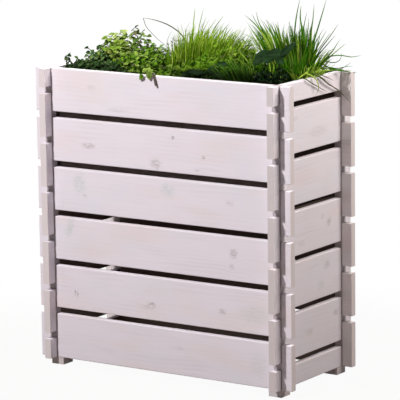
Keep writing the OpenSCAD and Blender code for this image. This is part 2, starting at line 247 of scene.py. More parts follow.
class Board:
    """One timber as its finish sees it, with the place along its fibres, through it and up."""

    def __init__(self, name: str, grain: Grain, box: Box, seed: float) -> None:
        """Starts the board's material.

        Args:
            name: Name of its material.
            grain: The way that its fibres run.
            box: Its lowest and highest corner.
            seed: Offset into the noise, which tells boards apart.
        """
        self.brush = Painter(name)
        self.grain = grain
        self.box = box
        self.seed = seed
        x, y, self.up = self.brush.coordinates()
        self.along, self.through = (x, y) if grain is Grain.ALONG_X else (y, x)

    def cloud(self, scales: Sequence[float], shifts: Sequence[int] = (0, 0, 0), detail: float = 2.0,
              rough: float = 0.5) -> Sock:
        """Noise along, through and up the timber, shifted by so many seeds each way."""
        seeds = tuple(self.seed * shift for shift in shifts)
        return self.brush.cloud((self.along, self.through, self.up), scales, seeds, detail, rough)

    def facing(self, axis: int) -> Sock:
        """1 on the faces that look along an axis."""
        return abs(self.brush.coordinates("Normal")[axis]).rise(0.6, 0.9)


@dataclass(frozen=True)
class Knot:
    """A knot or stain on the face of a board: its place along and up the board, and its reach."""

    along: float
    up: float
    wide: float
    high: float
    dark: float
    stain: bool = False

    def reach(self, board: Board) -> Sock:
        """How far a point lies from the knot, with 1 at the knot's edge.

        Args:
            board: The board.

        Returns:
            The distance.
        """
        place = (board.along, board.through, board.up)
        ripple = board.brush.cloud(place, (90, 0, 130), (0, self.along * 50, 0))
        across = (board.along - self.along) / self.wide
        above = (board.up - self.up) / self.high
        return (across * across + above * above).root() + (ripple - 0.5) * 0.9


@dataclass(frozen=True)
class Whitewash:
    """Thin white glaze over softwood, through which grain, knots and stains still show.

    The walls cross at the distances of crossing from the middle, on the long and the short walls.
    """

    glaze: Colour = (0.815, 0.755, 0.815)
    fibre: Colour = (0.62, 0.545, 0.56)
    cool: Colour = (0.755, 0.745, 0.800)
    warm: Colour = (0.80, 0.69, 0.69)
    heart: Colour = (0.36, 0.31, 0.30)
    stained: Colour = (0.56, 0.60, 0.60)
    bare: Colour = (0.66, 0.52, 0.40)
    end: Colour = (0.66, 0.585, 0.585)
    # painted shade of the inside faces below the soil, which the gaps show
    inside_shade: Colour = (0.090, 0.046, 0.030)
    # painted shade on the boards where the walls cross
    crossing_shade: Colour = (0.16, 0.125, 0.115)
    grain_share: float = 0.32
    ring_pitch: float = 520.0
    end_ring_pitch: float = 1900.0
    edge: float = 0.0045
    crossing: tuple[float, float] = (0.369, 0.156)
    # heights where the painted inside shade begins
    inside_shade_top: tuple[float, float] = (0.80, 0.79)
    foot_top: float = 0.04

    def paint(self, board: Board, knots: Sequence[Knot]) -> Material:
        """Makes the finish of one board.

        Args:
            board: The board.
            knots: Knots and stains on its faces.

        Returns:
            The material.
        """
        brush = board.brush
        pull = board.cloud((3, 9, 11), (1, 0, 1), 1.0) * 0.030
        dashes = board.cloud((70, 0, 420), (1, 0, 0)).rise(0.34, 0.62)
        heart: Value = 0.0
        stain: Value = 0.0
        for knot in knots:
            reach = knot.reach(board)
            mark = reach.rise(1.35, 0.35) * dashes * (1.7 * knot.dark)
            if knot.stain:
                stain = mark + stain
            else:
                heart = mark + heart
                pull = reach.rise(3.2, 0.6) * (0.9 * knot.high) + pull
        rings = ((board.up + pull) * self.ring_pitch + board.seed).waves()
        streak = board.cloud((5, 60, 75), (1, 1, 0), 3.0, 0.6)
        fine = board.cloud((16, 700, 900), (0, 1, 0))
        shown = board.cloud((7, 5, 20), (1, 0, 1), 1.0).rise(0.42, 0.75)
        veins = (rings * shown * 0.42 + streak * 0.75 + fine * 0.35 - 0.36).rise(0.0, 0.85)
        colour = brush.blend(veins * self.grain_share, self.glaze, self.fibre)
        patch = board.cloud((6, 9, 14), (1, 0, 0)).rise(0.52, 0.72)
        colour = brush.blend(patch * 0.55, colour, self.cool)
        blush = board.cloud((4, 9, 12), (0, 1, 1)).rise(0.50, 0.74)
        colour = brush.blend(blush * 0.55, colour, self.warm)
        if knots:
            colour = brush.blend(stain, colour, self.stained)
            colour = brush.blend(heart, colour, self.heart)
        colour = self._end_grain(board, colour)
        colour = self._worn_edges(board, colour, streak)
        # painted shade inside the bed and where the walls cross, on all but the feet
        if board.box[1].z > self.foot_top:
            colour = self._inside_and_crossing_shade(board, colour)
        height = fine * 0.5 + rings * 0.25 + streak * 0.5
        return brush.finish(colour, 0.52 + streak * 0.16, (height, 0.0005, 0.35))

    def _end_grain(self, board: Board, colour: Sock) -> Sock:
        """Shows growth rings where the board is sawn across.

        Args:
            board: The board.
            colour: Its colour so far.

        Returns:
            The new colour.
        """
        brush, through, up = board.brush, board.through, board.up
        ripple = brush.cloud((through, up, up), (50, 25, 0), (board.seed, 0, 0))
        bow = (through * through * 60.0 + up * 0.25).root()
        arcs = ((bow + ripple * 0.01) * self.end_ring_pitch).waves()
        cut = brush.blend(arcs * 0.35 + ripple * 0.25, self.end, self.fibre)
        return brush.blend(board.facing(board.grain.value), colour, cut)

    def _worn_edges(self, board: Board, colour: Sock, streak: Sock) -> Sock:
        """Rubs the glaze thin along the board's planed edges.

        Args:
            board: The board.
            colour: Its colour so far.
            streak: The streaks along its fibres.

        Returns:
            The new colour.
        """
        foot, top = (corner.z for corner in board.box)
        near = abs(board.up - (foot + top) / 2).rise((top - foot) / 2 - self.edge, (top - foot) / 2)
        return board.brush.blend(near * streak.rise(0.50, 0.75) * 0.35, colour, self.bare)

    def _inside_and_crossing_shade(self, board: Board, colour: Sock) -> Sock:
        """Painted shade darkens the raw inside below the soil, and the boards where the walls cross.

        Args:
            board: The board.
            colour: Its colour so far.

        Returns:
            The new colour.
        """
        axis = 1 - board.grain.value
        inner = min(abs(corner[axis]) for corner in board.box)
        crossing = self.crossing[board.grain.value]
        # painted shade on the inside faces below the soil
        inside = abs(board.through).rise(inner + 0.002, inner + 0.0005) * board.facing(axis)
        inside = inside * abs(board.along).rise(crossing - 0.009, crossing - 0.011)
        inside = inside * board.up.rise(*self.inside_shade_top)
        # painted shade in the crevices where the walls cross
        crossing_shade_mask = abs(abs(board.along) - crossing).rise(0.0150, 0.0105)
        brush = board.brush
        return brush.blend(inside, brush.blend(crossing_shade_mask * 0.6, colour, self.crossing_shade), self.inside_shade)


@dataclass(frozen=True)
class BareWood:
    """Planed softwood without a finish, dark, of the battens and slats inside the bed."""

    pale: Colour = (0.16, 0.11, 0.075)
    dark: Colour = (0.07, 0.045, 0.030)
    ring_pitch: float = 620.0

    def paint(self, board: Board) -> Material:
        """Makes the finish of one batten or slat.

        Args:
            board: The batten or slat.

        Returns:
            The material.
        """
        swirl = board.cloud((3, 12, 12), (1, 0, 0), 1.0)
        rings = ((board.through + board.up * 0.6 + swirl * 0.03) * self.ring_pitch).waves()
        fine = board.cloud((14, 800, 800))
        colour = board.brush.blend(rings * 0.5 + fine * 0.35, self.pale, self.dark)
        return board.brush.finish(colour, 0.62 + fine * 0.15, (fine + rings * 0.5, 0.0005, 0.4))


@dataclass(frozen=True)
class ZincSteel:
    """Zinc-plated steel of screws and staples."""

    bright: Colour = (0.62, 0.61, 0.58)
    dull: Colour = (0.36, 0.34, 0.30)

    def paint(self, name: str) -> Material:
        """Makes the finish.

        Args:
            name: Name of the material.

        Returns:
            The material.
        """
        brush = Painter(name)
        cloud = brush.cloud(brush.coordinates(), (500,), detail=3.0)
        colour = brush.blend(cloud.rise(0.4, 0.7), self.bright, self.dull)
        return brush.finish(colour, 0.30 + cloud * 0.25, metallic=1.0)


@dataclass(frozen=True)
class FeltFabric:
    """Needled non-woven fabric of the liner, with painted shade on the faces of its short sides."""

    face: Colour = (0.085, 0.068, 0.060)
    deep: Colour = (0.038, 0.030, 0.026)
    # painted shade on the short sides of the liner, which the gaps of the end walls show
    inside_shade: Colour = (0.014, 0.009, 0.007)
    inside_shade_from: tuple[float, float] = (0.350, 0.357)

    def paint(self, name: str) -> Material:
        """Makes the finish.

        Args:
            name: Name of the material.

        Returns:
            The material.
        """
        brush = Painter(name)
        spot = brush.coordinates()
        fibres = brush.cloud(spot, (900,), detail=3.0, rough=0.7)
        matted = brush.cloud(spot, (60,), detail=3.0)
        colour = brush.blend(fibres * 0.6 + matted * 0.4 - 0.1, self.face, self.deep)
        # painted shade on the short sides
        colour = brush.blend(abs(spot[0]).rise(*self.inside_shade_from), colour, self.inside_shade)
        return brush.finish(colour, 0.95, (fibres + matted, 0.0008, 0.6), specular=0.08)


@dataclass(frozen=True)
class Compost:
    """Dark moist potting compost with paler fibres and bark."""

    dark: Colour = (0.016, 0.011, 0.008)
    brown: Colour = (0.060, 0.038, 0.024)
    bark: Colour = (0.16, 0.105, 0.065)

    def paint(self, name: str) -> Material:
        """Makes the finish.

        Args:
            name: Name of the material.

        Returns:
            The material.
        """
        brush = Painter(name)
        spot = brush.coordinates()
        crumbs = brush.cloud(spot, (260,), detail=4.0, rough=0.65)
        bits = brush.cloud(spot, (420, 170, 420))
        colour = brush.blend(crumbs.rise(0.35, 0.65), self.dark, self.brown)
        colour = brush.blend(bits.rise(0.66, 0.74), colour, self.bark)
        return brush.finish(colour, 0.88 - crumbs * 0.15, (crumbs, 0.003, 0.9), specular=0.15)


@dataclass(frozen=True)
class Foliage:
    """Leaf or blade finish that changes from foot to tip and from one leaf to the next.

    Near the soil, between the two heights of low, the colour darkens by a set share: painted shade of
    the foliage above.
    """

    foot: Colour
    tip: Colour
    dry: Colour
    pale: Colour
    rough: float = 0.42
    rib: float = 0.35
    veins: float = 65.0
    gloss: float = 0.05
    # share of painted shade near the soil
    low_shade: float = 0.0
    low: tuple[float, float] = (0.868, 0.840)

    def paint(self, name: str) -> Material:
        """Makes the finish, which reads the along, across and shade numbers of the plant's mesh.

        Args:
            name: Name of the material.

        Returns:
            The material.
        """
        brush = Painter(name)
        spot = brush.coordinates()
        along, across, shade = (brush.attribute(key) for key in ("along", "across", "shade"))
        colour = brush.blend(along.rise(0.0, 0.8), self.foot, self.tip)
        colour = brush.blend(shade.rise(0.55, 1.0) * 0.8, colour, self.pale)
        mottle = brush.cloud(spot, (180,))
        colour = brush.blend(mottle.rise(0.35, 0.75) * 0.35, colour, self.foot)
        drift = brush.cloud(spot, (30,), detail=1.0)
        colour = brush.blend(drift.rise(0.46, 0.64) * 0.45, colour, self.foot)
        colour = brush.blend(shade.rise(0.12, 0.0) * along.rise(0.15, 0.6), colour, self.dry)
        midrib = across.rise(0.16, 0.0)
        colour = brush.blend(midrib * self.rib, colour, self.pale)
        # painted shade of the foliage above, darker towards the soil
        if self.low_shade:
            shaded = tuple(0.15 * part for part in self.foot)
            colour = brush.blend(spot[2].rise(*self.low) * self.low_shade, colour, shaded)
        ribs = ((along + across * 0.5) * self.veins).waves()
        bump = (ribs * 0.4 + midrib + mottle, 0.0006, 0.4)
        return brush.finish(colour, self.rough + mottle * 0.2, bump, specular=self.gloss)


def deselect() -> None:
    """Leaves edit mode and clears the selection, so that an operator acts on nothing by chance."""
    if bpy.context.object and bpy.context.object.mode != "OBJECT":
        bpy.ops.object.mode_set(mode="OBJECT")
    bpy.ops.object.select_all(action="DESELECT")


def activate(piece: Piece) -> None:
    """Makes one object the only selected and active one.

    Args:
        piece: The object.
    """
    deselect()
    piece.select_set(True)
    bpy.context.view_layer.objects.active = piece


def basic(add: Callable, scale: Sequence[float] = (1.0, 1.0, 1.0), **settings: object) -> Piece:
    """Adds a basic shape and puts its place, turn and scale into its mesh.

    Args:
        add: The operator that adds it.
        scale: How it is stretched.
        settings: Settings of the operator.

    Returns:
        The object.
    """
    deselect()
    add(**settings)
    piece = bpy.context.object
    activate(piece)
    piece.scale = scale
    bpy.ops.object.transform_apply(location=True, rotation=True, scale=True)
    return piece


class Edit:
    """Edit mode on one mesh, with selection by place."""

    def __init__(self, piece: Piece) -> None:
        """Keeps the piece that is edited."""
        self.piece = piece

    def __enter__(self) -> "Edit":
        """Enters edit mode with everything selected.

        Returns:
            Itself.
        """
        activate(self.piece)
        bpy.ops.object.mode_set(mode="EDIT")
        self.everything()
        return self

    def __exit__(self, *_: object) -> None:
        """Goes back to object mode."""
        bpy.ops.object.mode_set(mode="OBJECT")

    @staticmethod
    def everything() -> None:
        """Selects everything."""
        bpy.ops.mesh.select_all(action="SELECT")

    def pick(self, test: Callable[[Vector], bool], mode: str = "VERT") -> None:
        """Selects the vertices, edges or faces that lie where a test says.

        Args:
            test: Tells whether a place is wanted. Edges and faces are tested at their middle.
            mode: VERT, EDGE or FACE.
        """
        bpy.ops.mesh.select_mode(type=mode)
        bpy.ops.mesh.select_all(action="DESELECT")
        bpy.ops.object.mode_set(mode="OBJECT")
        mesh = self.piece.data
        points = mesh.vertices
        if mode == "FACE":
            spots = [(face, face.center) for face in mesh.polygons]
        elif mode == "EDGE":
            spots = [(edge, (points[edge.vertices[0]].co + points[edge.vertices[1]].co) / 2)
                     for edge in mesh.edges]
        else:
            spots = [(point, point.co) for point in points]
        for element, spot in spots:
            if test(spot):
                element.select = True
        bpy.ops.object.mode_set(mode="EDIT")

    @staticmethod
    def resize(value: Spot, centre: Spot | None = None) -> None:
        """Stretches what is selected, about a centre or about its own middle."""
        about = {"center_override": centre} if centre else {}
        bpy.ops.transform.resize(value=value, **about)

    @staticmethod
    def shift(*value: float) -> None:
        """Moves what is selected."""
        bpy.ops.transform.translate(value=value)

    @staticmethod
    def extrude(*value: float) -> None:
        """Draws the selected faces out."""
        bpy.ops.mesh.extrude_region_move(TRANSFORM_OT_translate={"value": value})

    def face_outward(self) -> None:
        """Turns every face's normal outward."""
        self.everything()
        bpy.ops.mesh.normals_make_consistent(inside=False)


def apply_modifier(piece: Piece, kind: str, **settings: object) -> None:
    """Adds a modifier and applies it.

    Args:
        piece: The piece.
        kind: Blender's name of the modifier's type.
        settings: Its settings.
    """
    activate(piece)
    made = piece.modifiers.new(kind.title(), kind)
    for key, value in settings.items():
        setattr(made, key, value)
    bpy.ops.object.modifier_apply(modifier=made.name)


def smooth(piece: Piece, angle: float) -> None:
    """Shades a piece smooth where it turns by less than an angle in degrees."""
    activate(piece)
    bpy.ops.object.shade_smooth_by_angle(angle=math.radians(angle))


def dress(piece: Piece, name: str, material: Material, node: str | None = None) -> None:
    """Names a new piece, gives it its finish and hands it to the frame.

    Args:
        piece: The finished mesh object.
        name: Its name.
        material: Its finish.
        node: The CAD node that it stands for, if any.
    """
    piece.name = name
    piece.data.name = name
    piece.data.materials.clear()
    piece.data.materials.append(material)
    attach(piece, BODY)
    if node:
        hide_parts(node)
    log.info("%s: %d faces, stands for %s", name, len(piece.data.polygons), node or "nothing")


def rows(kind: Callable, lengths: int, *table: Sequence) -> tuple:
    """Makes one thing of a kind per row, of whose numbers the first lengths are millimetres."""
    return tuple(kind(*(value / MM for value in row[:lengths]), *row[lengths:]) for row in table)


def spots(*table: Sequence[float]) -> tuple[Spot, ...]:
    """Places from rows of millimetres."""
    return tuple(tuple(value / MM for value in row) for row in table)


@dataclass
class Bed:
    """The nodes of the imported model, and the level of its soil."""

    nodes: dict[str, Piece]
    soil: float = field(init=False)

    def __post_init__(self) -> None:
        """Reads the soil level."""
        self.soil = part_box("soil")[1].z


@dataclass
class Timber:
    """Dresses every board, foot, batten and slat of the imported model.

    The knots are where the photograph shows them. A board that isn't listed gets some by chance.
    """

    bed: Bed
    wash: Whitewash = Whitewash()
    # the lighter end grain of the front, left and back boards is painted light; the timber is the
    # same as on the right boards
    pale: Whitewash = Whitewash(end=(0.78, 0.70, 0.70))
    rear: Whitewash = Whitewash(glaze=(0.80, 0.745, 0.735), end=(0.78, 0.70, 0.70))
    # the feet's darker glaze is painted shade under the bed
    shaded_foot_wash: Whitewash = Whitewash(glaze=(0.60, 0.53, 0.53), fibre=(0.44, 0.38, 0.38))
    bare: BareWood = BareWood()
    knots: dict[str, tuple[Knot, ...]] = field(default_factory=lambda: {
        "back_board_6": rows(Knot, 4, (392, 818, 10, 9, 0.3), (120, 770, 14, 8, 0.35)),
        "front_board_1": rows(Knot, 4, (52, 95, 22, 6, 0.1), (-180, 60, 30, 8, 0.07),
            (310, 80, 30, 40, 0.25, True)),
        "front_board_2": rows(Knot, 4, (-292, 210, 3, 9, 0.5), (-284, 210, 3, 9, 0.5),
            (-34, 207, 13, 8, 0.4), (-48, 198, 22, 8, 0.2), (196, 214, 12, 9, 0.34),
            (300, 218, 50, 28, 0.28, True)),
        "front_board_3": rows(Knot, 4, (-302, 402, 12, 22, 0.45, True),
            (-312, 380, 12, 16, 0.35, True), (232, 376, 13, 14, 0.36), (226, 340, 9, 8, 0.24)),
        "front_board_4": rows(Knot, 4, (-270, 520, 22, 30, 0.42, True), (-252, 487, 8, 6, 0.22),
            (24, 528, 26, 20, 0.4, True), (222, 510, 14, 8, 0.16)),
        "front_board_5": rows(Knot, 4, (-238, 628, 22, 8, 0.4), (-14, 595, 20, 13, 0.3),
            (42, 673, 6, 5, 0.62), (140, 626, 6, 6, 0.48), (120, 590, 12, 4, 0.22),
            (-15, 606, 20, 12, 0.2, True)),
        "front_board_6": rows(Knot, 4, (-224, 790, 16, 7, 0.2), (-140, 733, 35, 6, 0.16)),
        "right_board_1": (),
        "right_board_2": rows(Knot, 4, (116, 178, 14, 9, 0.36), (-20, 150, 20, 9, 0.16)),
        "right_board_3": rows(Knot, 4, (70, 318, 18, 12, 0.26), (40, 268, 18, 14, 0.34, True)),
        "right_board_4": rows(Knot, 4, (82, 437, 12, 14, 0.34), (50, 455, 10, 8, 0.22),
            (-60, 400, 20, 10, 0.14)),
        "right_board_5": (),
        "right_board_6": rows(Knot, 4, (30, 690, 50, 16, 0.14), (-90, 738, 16, 7, 0.18)),
        "right_board_7": rows(Knot, 4, (20, 808, 30, 6, 0.18), (176, 822, 7, 7, 0.5)),
    })

    def chance_knots(self, box: Box, grain: Grain, seed: int) -> tuple[Knot, ...]:
        """Two or three knots for a board whose face the photograph doesn't show.

        Args:
            box: Lowest and highest corner of the board.
            grain: The way that its fibres run.
            seed: Number that tells boards apart.

        Returns:
            The knots.
        """
        chance = random.Random(seed)
        draw = chance.uniform
        low, high = box[0][grain.value], box[1][grain.value]
        return tuple(
            Knot(draw(low + 0.06, high - 0.06), draw(box[0].z + 0.02, box[1].z - 0.02),
                 draw(0.007, 0.018), draw(0.005, 0.011), draw(0.2, 0.5))
            for _ in range(chance.choice((2, 3))))

    def dress_all(self) -> None:
        """Gives each timber node its own finish."""
        washes = {"front": self.pale, "left": self.pale, "back": self.rear, "foot": self.shaded_foot_wash}
        for count, (name, piece) in enumerate(sorted(self.bed.nodes.items())):
            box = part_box(name)
            across = name.startswith(("left", "right", "floor"))
            grain = Grain.ALONG_Y if across else Grain.ALONG_X
            board = "_board_" in name
            if name.endswith("_screws"):
                continue
            if board or name.startswith("foot_"):
                knots = self.knots.get(name)
                if knots is None:
                    knots = self.chance_knots(box, grain, 40 + count) if board else ()
                wash = washes.get(name.split("_")[0], self.wash)
                material = wash.paint(Board(f"whitewash_{name}", grain, box, 3.7 * count), knots)
            elif name.startswith(("ledger_", "floor_")):
                material = self.bare.paint(Board(f"bare_{name}", grain, box, 2.3 * count))
            else:
                continue
            piece.material_slots[0].material = material
            log.info("%s dressed", name)


@dataclass
class Pattern:
    """A small modelled shape that is copied many times, with the numbers that its finish reads."""

    points: np.ndarray
    loops: np.ndarray
    sizes: np.ndarray
    along: np.ndarray
    across: np.ndarray

    @classmethod
    def take(cls, piece: Piece) -> "Pattern":
        """Reads a modelled object and deletes it.

        Args:
            piece: The object. A leaf or blade has its foot at y = 0 and its tip at y = 1.

        Returns:
            The pattern.
        """
        mesh = piece.data
        points = np.empty(len(mesh.vertices) * 3)
        mesh.vertices.foreach_get("co", points)
        points = points.reshape(-1, 3)
        loops = np.empty(len(mesh.loops), dtype=np.int32)
        mesh.loops.foreach_get("vertex_index", loops)
        sizes = np.array([len(face.vertices) for face in mesh.polygons], dtype=np.int32)
        bpy.data.objects.remove(piece)
        return cls(points, loops, sizes, points[:, 1].copy(), np.abs(points[:, 0]) * 2)

    @classmethod
    def joined(cls, patterns: Sequence["Pattern"], places: Sequence[np.ndarray]) -> "Pattern":
        """Joins several patterns.

        Args:
            patterns: The patterns.
            places: For each of them, where its points go.

        Returns:
            The pattern that holds them all.
        """
        starts = np.cumsum([0] + [len(points) for points in places])
        loops = [pattern.loops + start for pattern, start in zip(patterns, starts)]
        rest = (np.concatenate([getattr(pattern, key) for pattern in patterns])
                for key in ("sizes", "along", "across"))
        return cls(np.concatenate(places), np.concatenate(loops), *rest)


def placed(points: np.ndarray, spot: Sequence[float], turn: Matrix,
           stretch: Vector | None = None) -> np.ndarray:
    """The points stretched, turned and moved to a spot."""
    matrix = Matrix.LocRotScale(Vector(spot), turn, stretch)
    return points @ np.array(matrix.to_3x3()).T + np.array(matrix.translation)


class Growth:
    """Copies of patterns, gathered into the one mesh of a plant."""

    def __init__(self) -> None:
        """Starts without any copy."""
        self.patterns: list[Pattern] = []
        self.places: list[np.ndarray] = []
        self.shades: list[float] = []

    def add(self, pattern: Pattern, points: np.ndarray, shade: float = 0.5) -> None:
        """Adds one copy.

        Args:
            pattern: What is copied.
            points: Where its points go.
            shade: Its tint, from 0, dry, to 1, pale.
        """
        self.patterns.append(pattern)
        self.places.append(points)
        self.shades.append(shade)

    def build(self, name: str) -> Piece:
        """Makes a mesh object at the origin, smooth where it turns gently.

        Args:
            name: Name of the object.

        Returns:
            The object.
        """
        whole = Pattern.joined(self.patterns, self.places)
        mesh = bpy.data.meshes.new(name)
        mesh.vertices.add(len(whole.points))
        mesh.vertices.foreach_set("co", whole.points.ravel())
        mesh.loops.add(len(whole.loops))
        mesh.loops.foreach_set("vertex_index", whole.loops.astype(np.int32))
        mesh.polygons.add(len(whole.sizes))
        starts = np.concatenate([[0], np.cumsum(whole.sizes)[:-1]])
        mesh.polygons.foreach_set("loop_start", starts.astype(np.int32))
        mesh.update(calc_edges=True)
        shades = np.repeat(self.shades, [len(points) for points in self.places])
        for key, values in {"along": whole.along, "across": whole.across, "shade": shades}.items():
            layer = mesh.attributes.new(key, "FLOAT", "POINT")
            layer.data.foreach_set("value", values.astype(np.float32))
        mesh.validate()
        piece = bpy.data.objects.new(name, mesh)
        bpy.context.collection.objects.link(piece)
        smooth(piece, 50)
        return piece


@dataclass
class Fasteners:
    """Dresses the screws and staples the liner's hem to the boards."""

    bed: Bed
    steel: ZincSteel = ZincSteel()
    spacing: float = 0.09
    crown: float = 0.010
    wire: float = 0.0011
    below_hem: float = 0.010
    cloth: float = 0.0025
    ends: tuple[float, float] = (0.05, 0.04)

    def build(self) -> None:
        """Dresses the screw nodes and builds the staples."""
        material = self.steel.paint("zinc_steel")
        for name in ("foot_screws", "ledger_screws"):
            self.bed.nodes[name].material_slots[0].material = material
        low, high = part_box("liner")
        staple = self.staple()
        growth = Growth()
        for along, turns in ((0, (0.0, math.pi)), (1, (-math.pi / 2, math.pi / 2))):
            wall = 1 - along
            steps = np.arange(low[along] + self.ends[0], high[along] - self.ends[1], self.spacing)
            for face, turn in zip((low[wall] + self.cloth, high[wall] - self.cloth), turns):
                for step in steps:
                    spot = [face, face, high.z - self.below_hem]
                    spot[along] = step
                    growth.add(staple, placed(staple.points, spot, Matrix.Rotation(turn, 3, "Z")))
        dress(growth.build("liner_staples"), "liner_staples", material)

    def staple(self) -> Pattern:
        """Models one staple, its crown along X and its legs towards -Y.

        Returns:
            The staple.
        """
        piece = basic(bpy.ops.mesh.primitive_cube_add, (self.crown, self.wire, self.wire), size=1.0,
                      location=(0.0, self.wire / 2, 0.0))
        with Edit(piece) as edit:
            bpy.ops.mesh.subdivide(number_cuts=1)
            edit.pick(lambda p: abs(p.x) > self.crown * 0.4)
            edit.shift(0.0, -self.wire * 0.45, 0.0)
        apply_modifier(piece, "BEVEL", width=self.wire * 0.25, segments=2)
        return Pattern.take(piece)


class Herbarium:
    """The few leaf and blade shapes that all the plants are grown from, each modelled once."""

    def __init__(self) -> None:
        """Models each shape."""
        self.blade = self._blade(5, 1.0, 7)
        self.flat_blade = self._blade(4, 0.40, 7)
        self.strand = self._blade(5, 1.0, 14)
        self.twig = self._twig()
        self.oval = self._leaf((0.12, 0.80, 1.0, 0.74, 0.03), 0.15)
        self.broad = self._leaf((0.14, 0.60, 0.90, 1.0, 0.97, 0.84, 0.58, 0.06), 0.11)
        self.toothed = self._leaf((0.10, 0.66, 1.0, 0.66, 0.62, 0.04), 0.13)
        self.bud = self._leaflet(0.35)
        lobes = ((0, 0.45, 0, 0.60, 0.62), (-58, 0.38, 0, 0.52, 0.50), (58, 0.38, 0, 0.52, 0.50))
        self.fan = self._spray(self.toothed, lobes, 0.5)
        pairs = ((0.28, 62, 0.36), (0.50, 54, 0.34), (0.70, 44, 0.26))
        leaflets = tuple((side * angle, place, side * 0.01, length, length * 0.62)
                         for place, angle, length in pairs for side in (-1, 1))
        self.fern = self._spray(self._leaflet(0.5), (*leaflets, (0, 0.74, 0, 0.28, 0.18)), 0.8)
        threads = tuple((angle, place, 0, length, 0.055)
                        for place, length in ((0.22, 0.44), (0.42, 0.46), (0.60, 0.42))
                        for angle in (-46, -22, 24, 48))
        self.feather = self._spray(self._leaflet(1.0), threads, 0.9)

    @staticmethod
    def _blade(sides: int, flatness: float, rows: int) -> Pattern:
        """Models a straight blade from y = 0 to y = 1, one unit wide at its foot.

        Args:
            sides: Corners of its section.
            flatness: Its thickness over its width.
            rows: Stretches that it can bend between.

        Returns:
            The blade.
        """
        piece = basic(bpy.ops.mesh.primitive_cylinder_add, vertices=sides, radius=0.5,
                      depth=1.0 / rows, location=(0.0, 0.5 / rows, 0.0), rotation=LYING)
        with Edit(piece) as edit:
            edit.resize((1.0, 1.0, flatness))
            for row in range(1, rows):
                edit.pick(lambda p: p.y > row / rows - NEAR / 10, "FACE")
                edit.extrude(0.0, 1.0 / rows, 0.0)
            for row in range(1, rows + 1):
                share = row / rows
                edit.pick(lambda p: abs(p.y - share) < NEAR)
                width = max(1.0 - 0.35 * share - 0.55 * share ** 6, 0.06)
                edit.resize((width, 1.0, width), (0.0, share, 0.0))
        pattern = Pattern.take(piece)
        pattern.across[:] = 0.5
        return pattern

    @staticmethod
    def _twig() -> Pattern:
        """Models a woody stub that is broken off blunt.

        Returns:
            The stub.
        """
        piece = basic(bpy.ops.mesh.primitive_cylinder_add, vertices=7, radius=0.5, depth=1.0,
                      location=MIDDLE, rotation=LYING)
        with Edit(piece) as edit:
            edit.pick(lambda p: 0.1 < p.y < 0.9, "EDGE")
            bpy.ops.mesh.subdivide(number_cuts=3)
            edit.pick(lambda p: p.y < 0.1)
            edit.resize((0.62, 1.0, 0.62), (0.0, 0.0, 0.0))
            edit.pick(lambda p: p.y > 0.9)
            edit.resize((0.85, 1.0, 0.7), (0.0, 1.0, 0.0))
        pattern = Pattern.take(piece)
        pattern.across[:] = 0.5
        pattern.along[:] = 1.0
        return pattern

    @staticmethod
    def _leaf(widths: Sequence[float], fold: float) -> Pattern:
        """Models a leaf from y = 0 to y = 1, one unit wide at its widest.

        Args:
            widths: Its width at even steps from foot to tip.
            fold: How deep its middle lies below its edges.

        Returns:
            The leaf.
        """
        rows = len(widths) - 1
        piece = basic(bpy.ops.mesh.primitive_grid_add, x_subdivisions=2, y_subdivisions=rows,
                      size=1.0, location=MIDDLE)
        with Edit(piece) as edit:
            for row, width in enumerate(widths):
                edit.pick(lambda p: abs(p.y - row / rows) < NEAR)
                edit.resize((width, 1.0, 1.0), (0.0, row / rows, 0.0))
            edit.pick(lambda p: abs(p.x) < NEAR / 100 and 0.01 < p.y < 0.99)
            edit.shift(0.0, 0.0, -fold)
        apply_modifier(piece, "SOLIDIFY", thickness=0.03, offset=0.0)
        return Pattern.take(piece)

    @staticmethod
    def _leaflet(thick: float) -> Pattern:
        """Models a tiny closed leaflet from y = 0 to y = 1.

        Args:
            thick: Its thickness over its width.

        Returns:
            The leaflet.
        """
        piece = basic(bpy.ops.mesh.primitive_uv_sphere_add, segments=4, ring_count=2, radius=0.5,
                      location=MIDDLE, rotation=LYING)
        with Edit(piece) as edit:
            edit.resize((1.0, 1.0, thick))
            edit.pick(lambda p: 0.1 < p.y < 0.9)
            edit.shift(0.0, -0.08, 0.0)
            edit.face_outward()
        return Pattern.take(piece)

    @staticmethod
    def _spray(leaf: Pattern, leaflets: Sequence[Sequence[float]], reach: float) -> Pattern:
        """Joins leaflets on a thin three-sided stalk into one compound leaf.

        Args:
            leaf: The leaflet.
            leaflets: The angle of each, its place along and beside the stalk, its length and width.
            reach: How far the stalk runs.

        Returns:
            The compound leaf, from y = 0 to about y = 1.
        """
        piece = basic(bpy.ops.mesh.primitive_cone_add, vertices=3, radius1=1.0, radius2=0.4,
                      depth=1.0, location=MIDDLE, rotation=LYING)
        with Edit(piece) as edit:
            edit.pick(lambda p: 0.1 < p.y < 0.9, "EDGE")
            bpy.ops.mesh.subdivide(number_cuts=1)
        stalk = Pattern.take(piece)
        places = [stalk.points * np.array((0.035, reach, 0.035))]
        for angle, place, beside, length, width in leaflets:
            turn = Matrix.Rotation(-math.radians(angle), 3, "Z") @ Matrix.Rotation(-0.25, 3, "X")
            sized = leaf.points * np.array((width, length, width))
            places.append(placed(sized, (beside, place, 0.0), turn))
        spray = Pattern.joined([stalk] + [leaf] * len(leaflets), places)
        spray.along = np.clip(spray.points[:, 1], 0, 1)
        return spray


def unit(arrows: np.ndarray) -> np.ndarray:
    """The arrows, each made one unit long."""
    return arrows / np.maximum(np.linalg.norm(arrows, axis=-1, keepdims=True), 1e-9)


def curve_at(path: Path, t: np.ndarray | float) -> tuple[np.ndarray, np.ndarray]:
    """A place on a Bezier curve and the direction there.

    Args:
        path: Its control points, three or more.
        t: How far along, from 0 to 1, as one number or a column.

    Returns:
        The place and the direction.
    """
    points = [np.array(point) + 0.0 * t for point in path]
    while len(points) > 2:
        points = [low + (high - low) * t for low, high in zip(points, points[1:])]
    run = points[1] - points[0]
    return points[0] + run * t, unit(run)


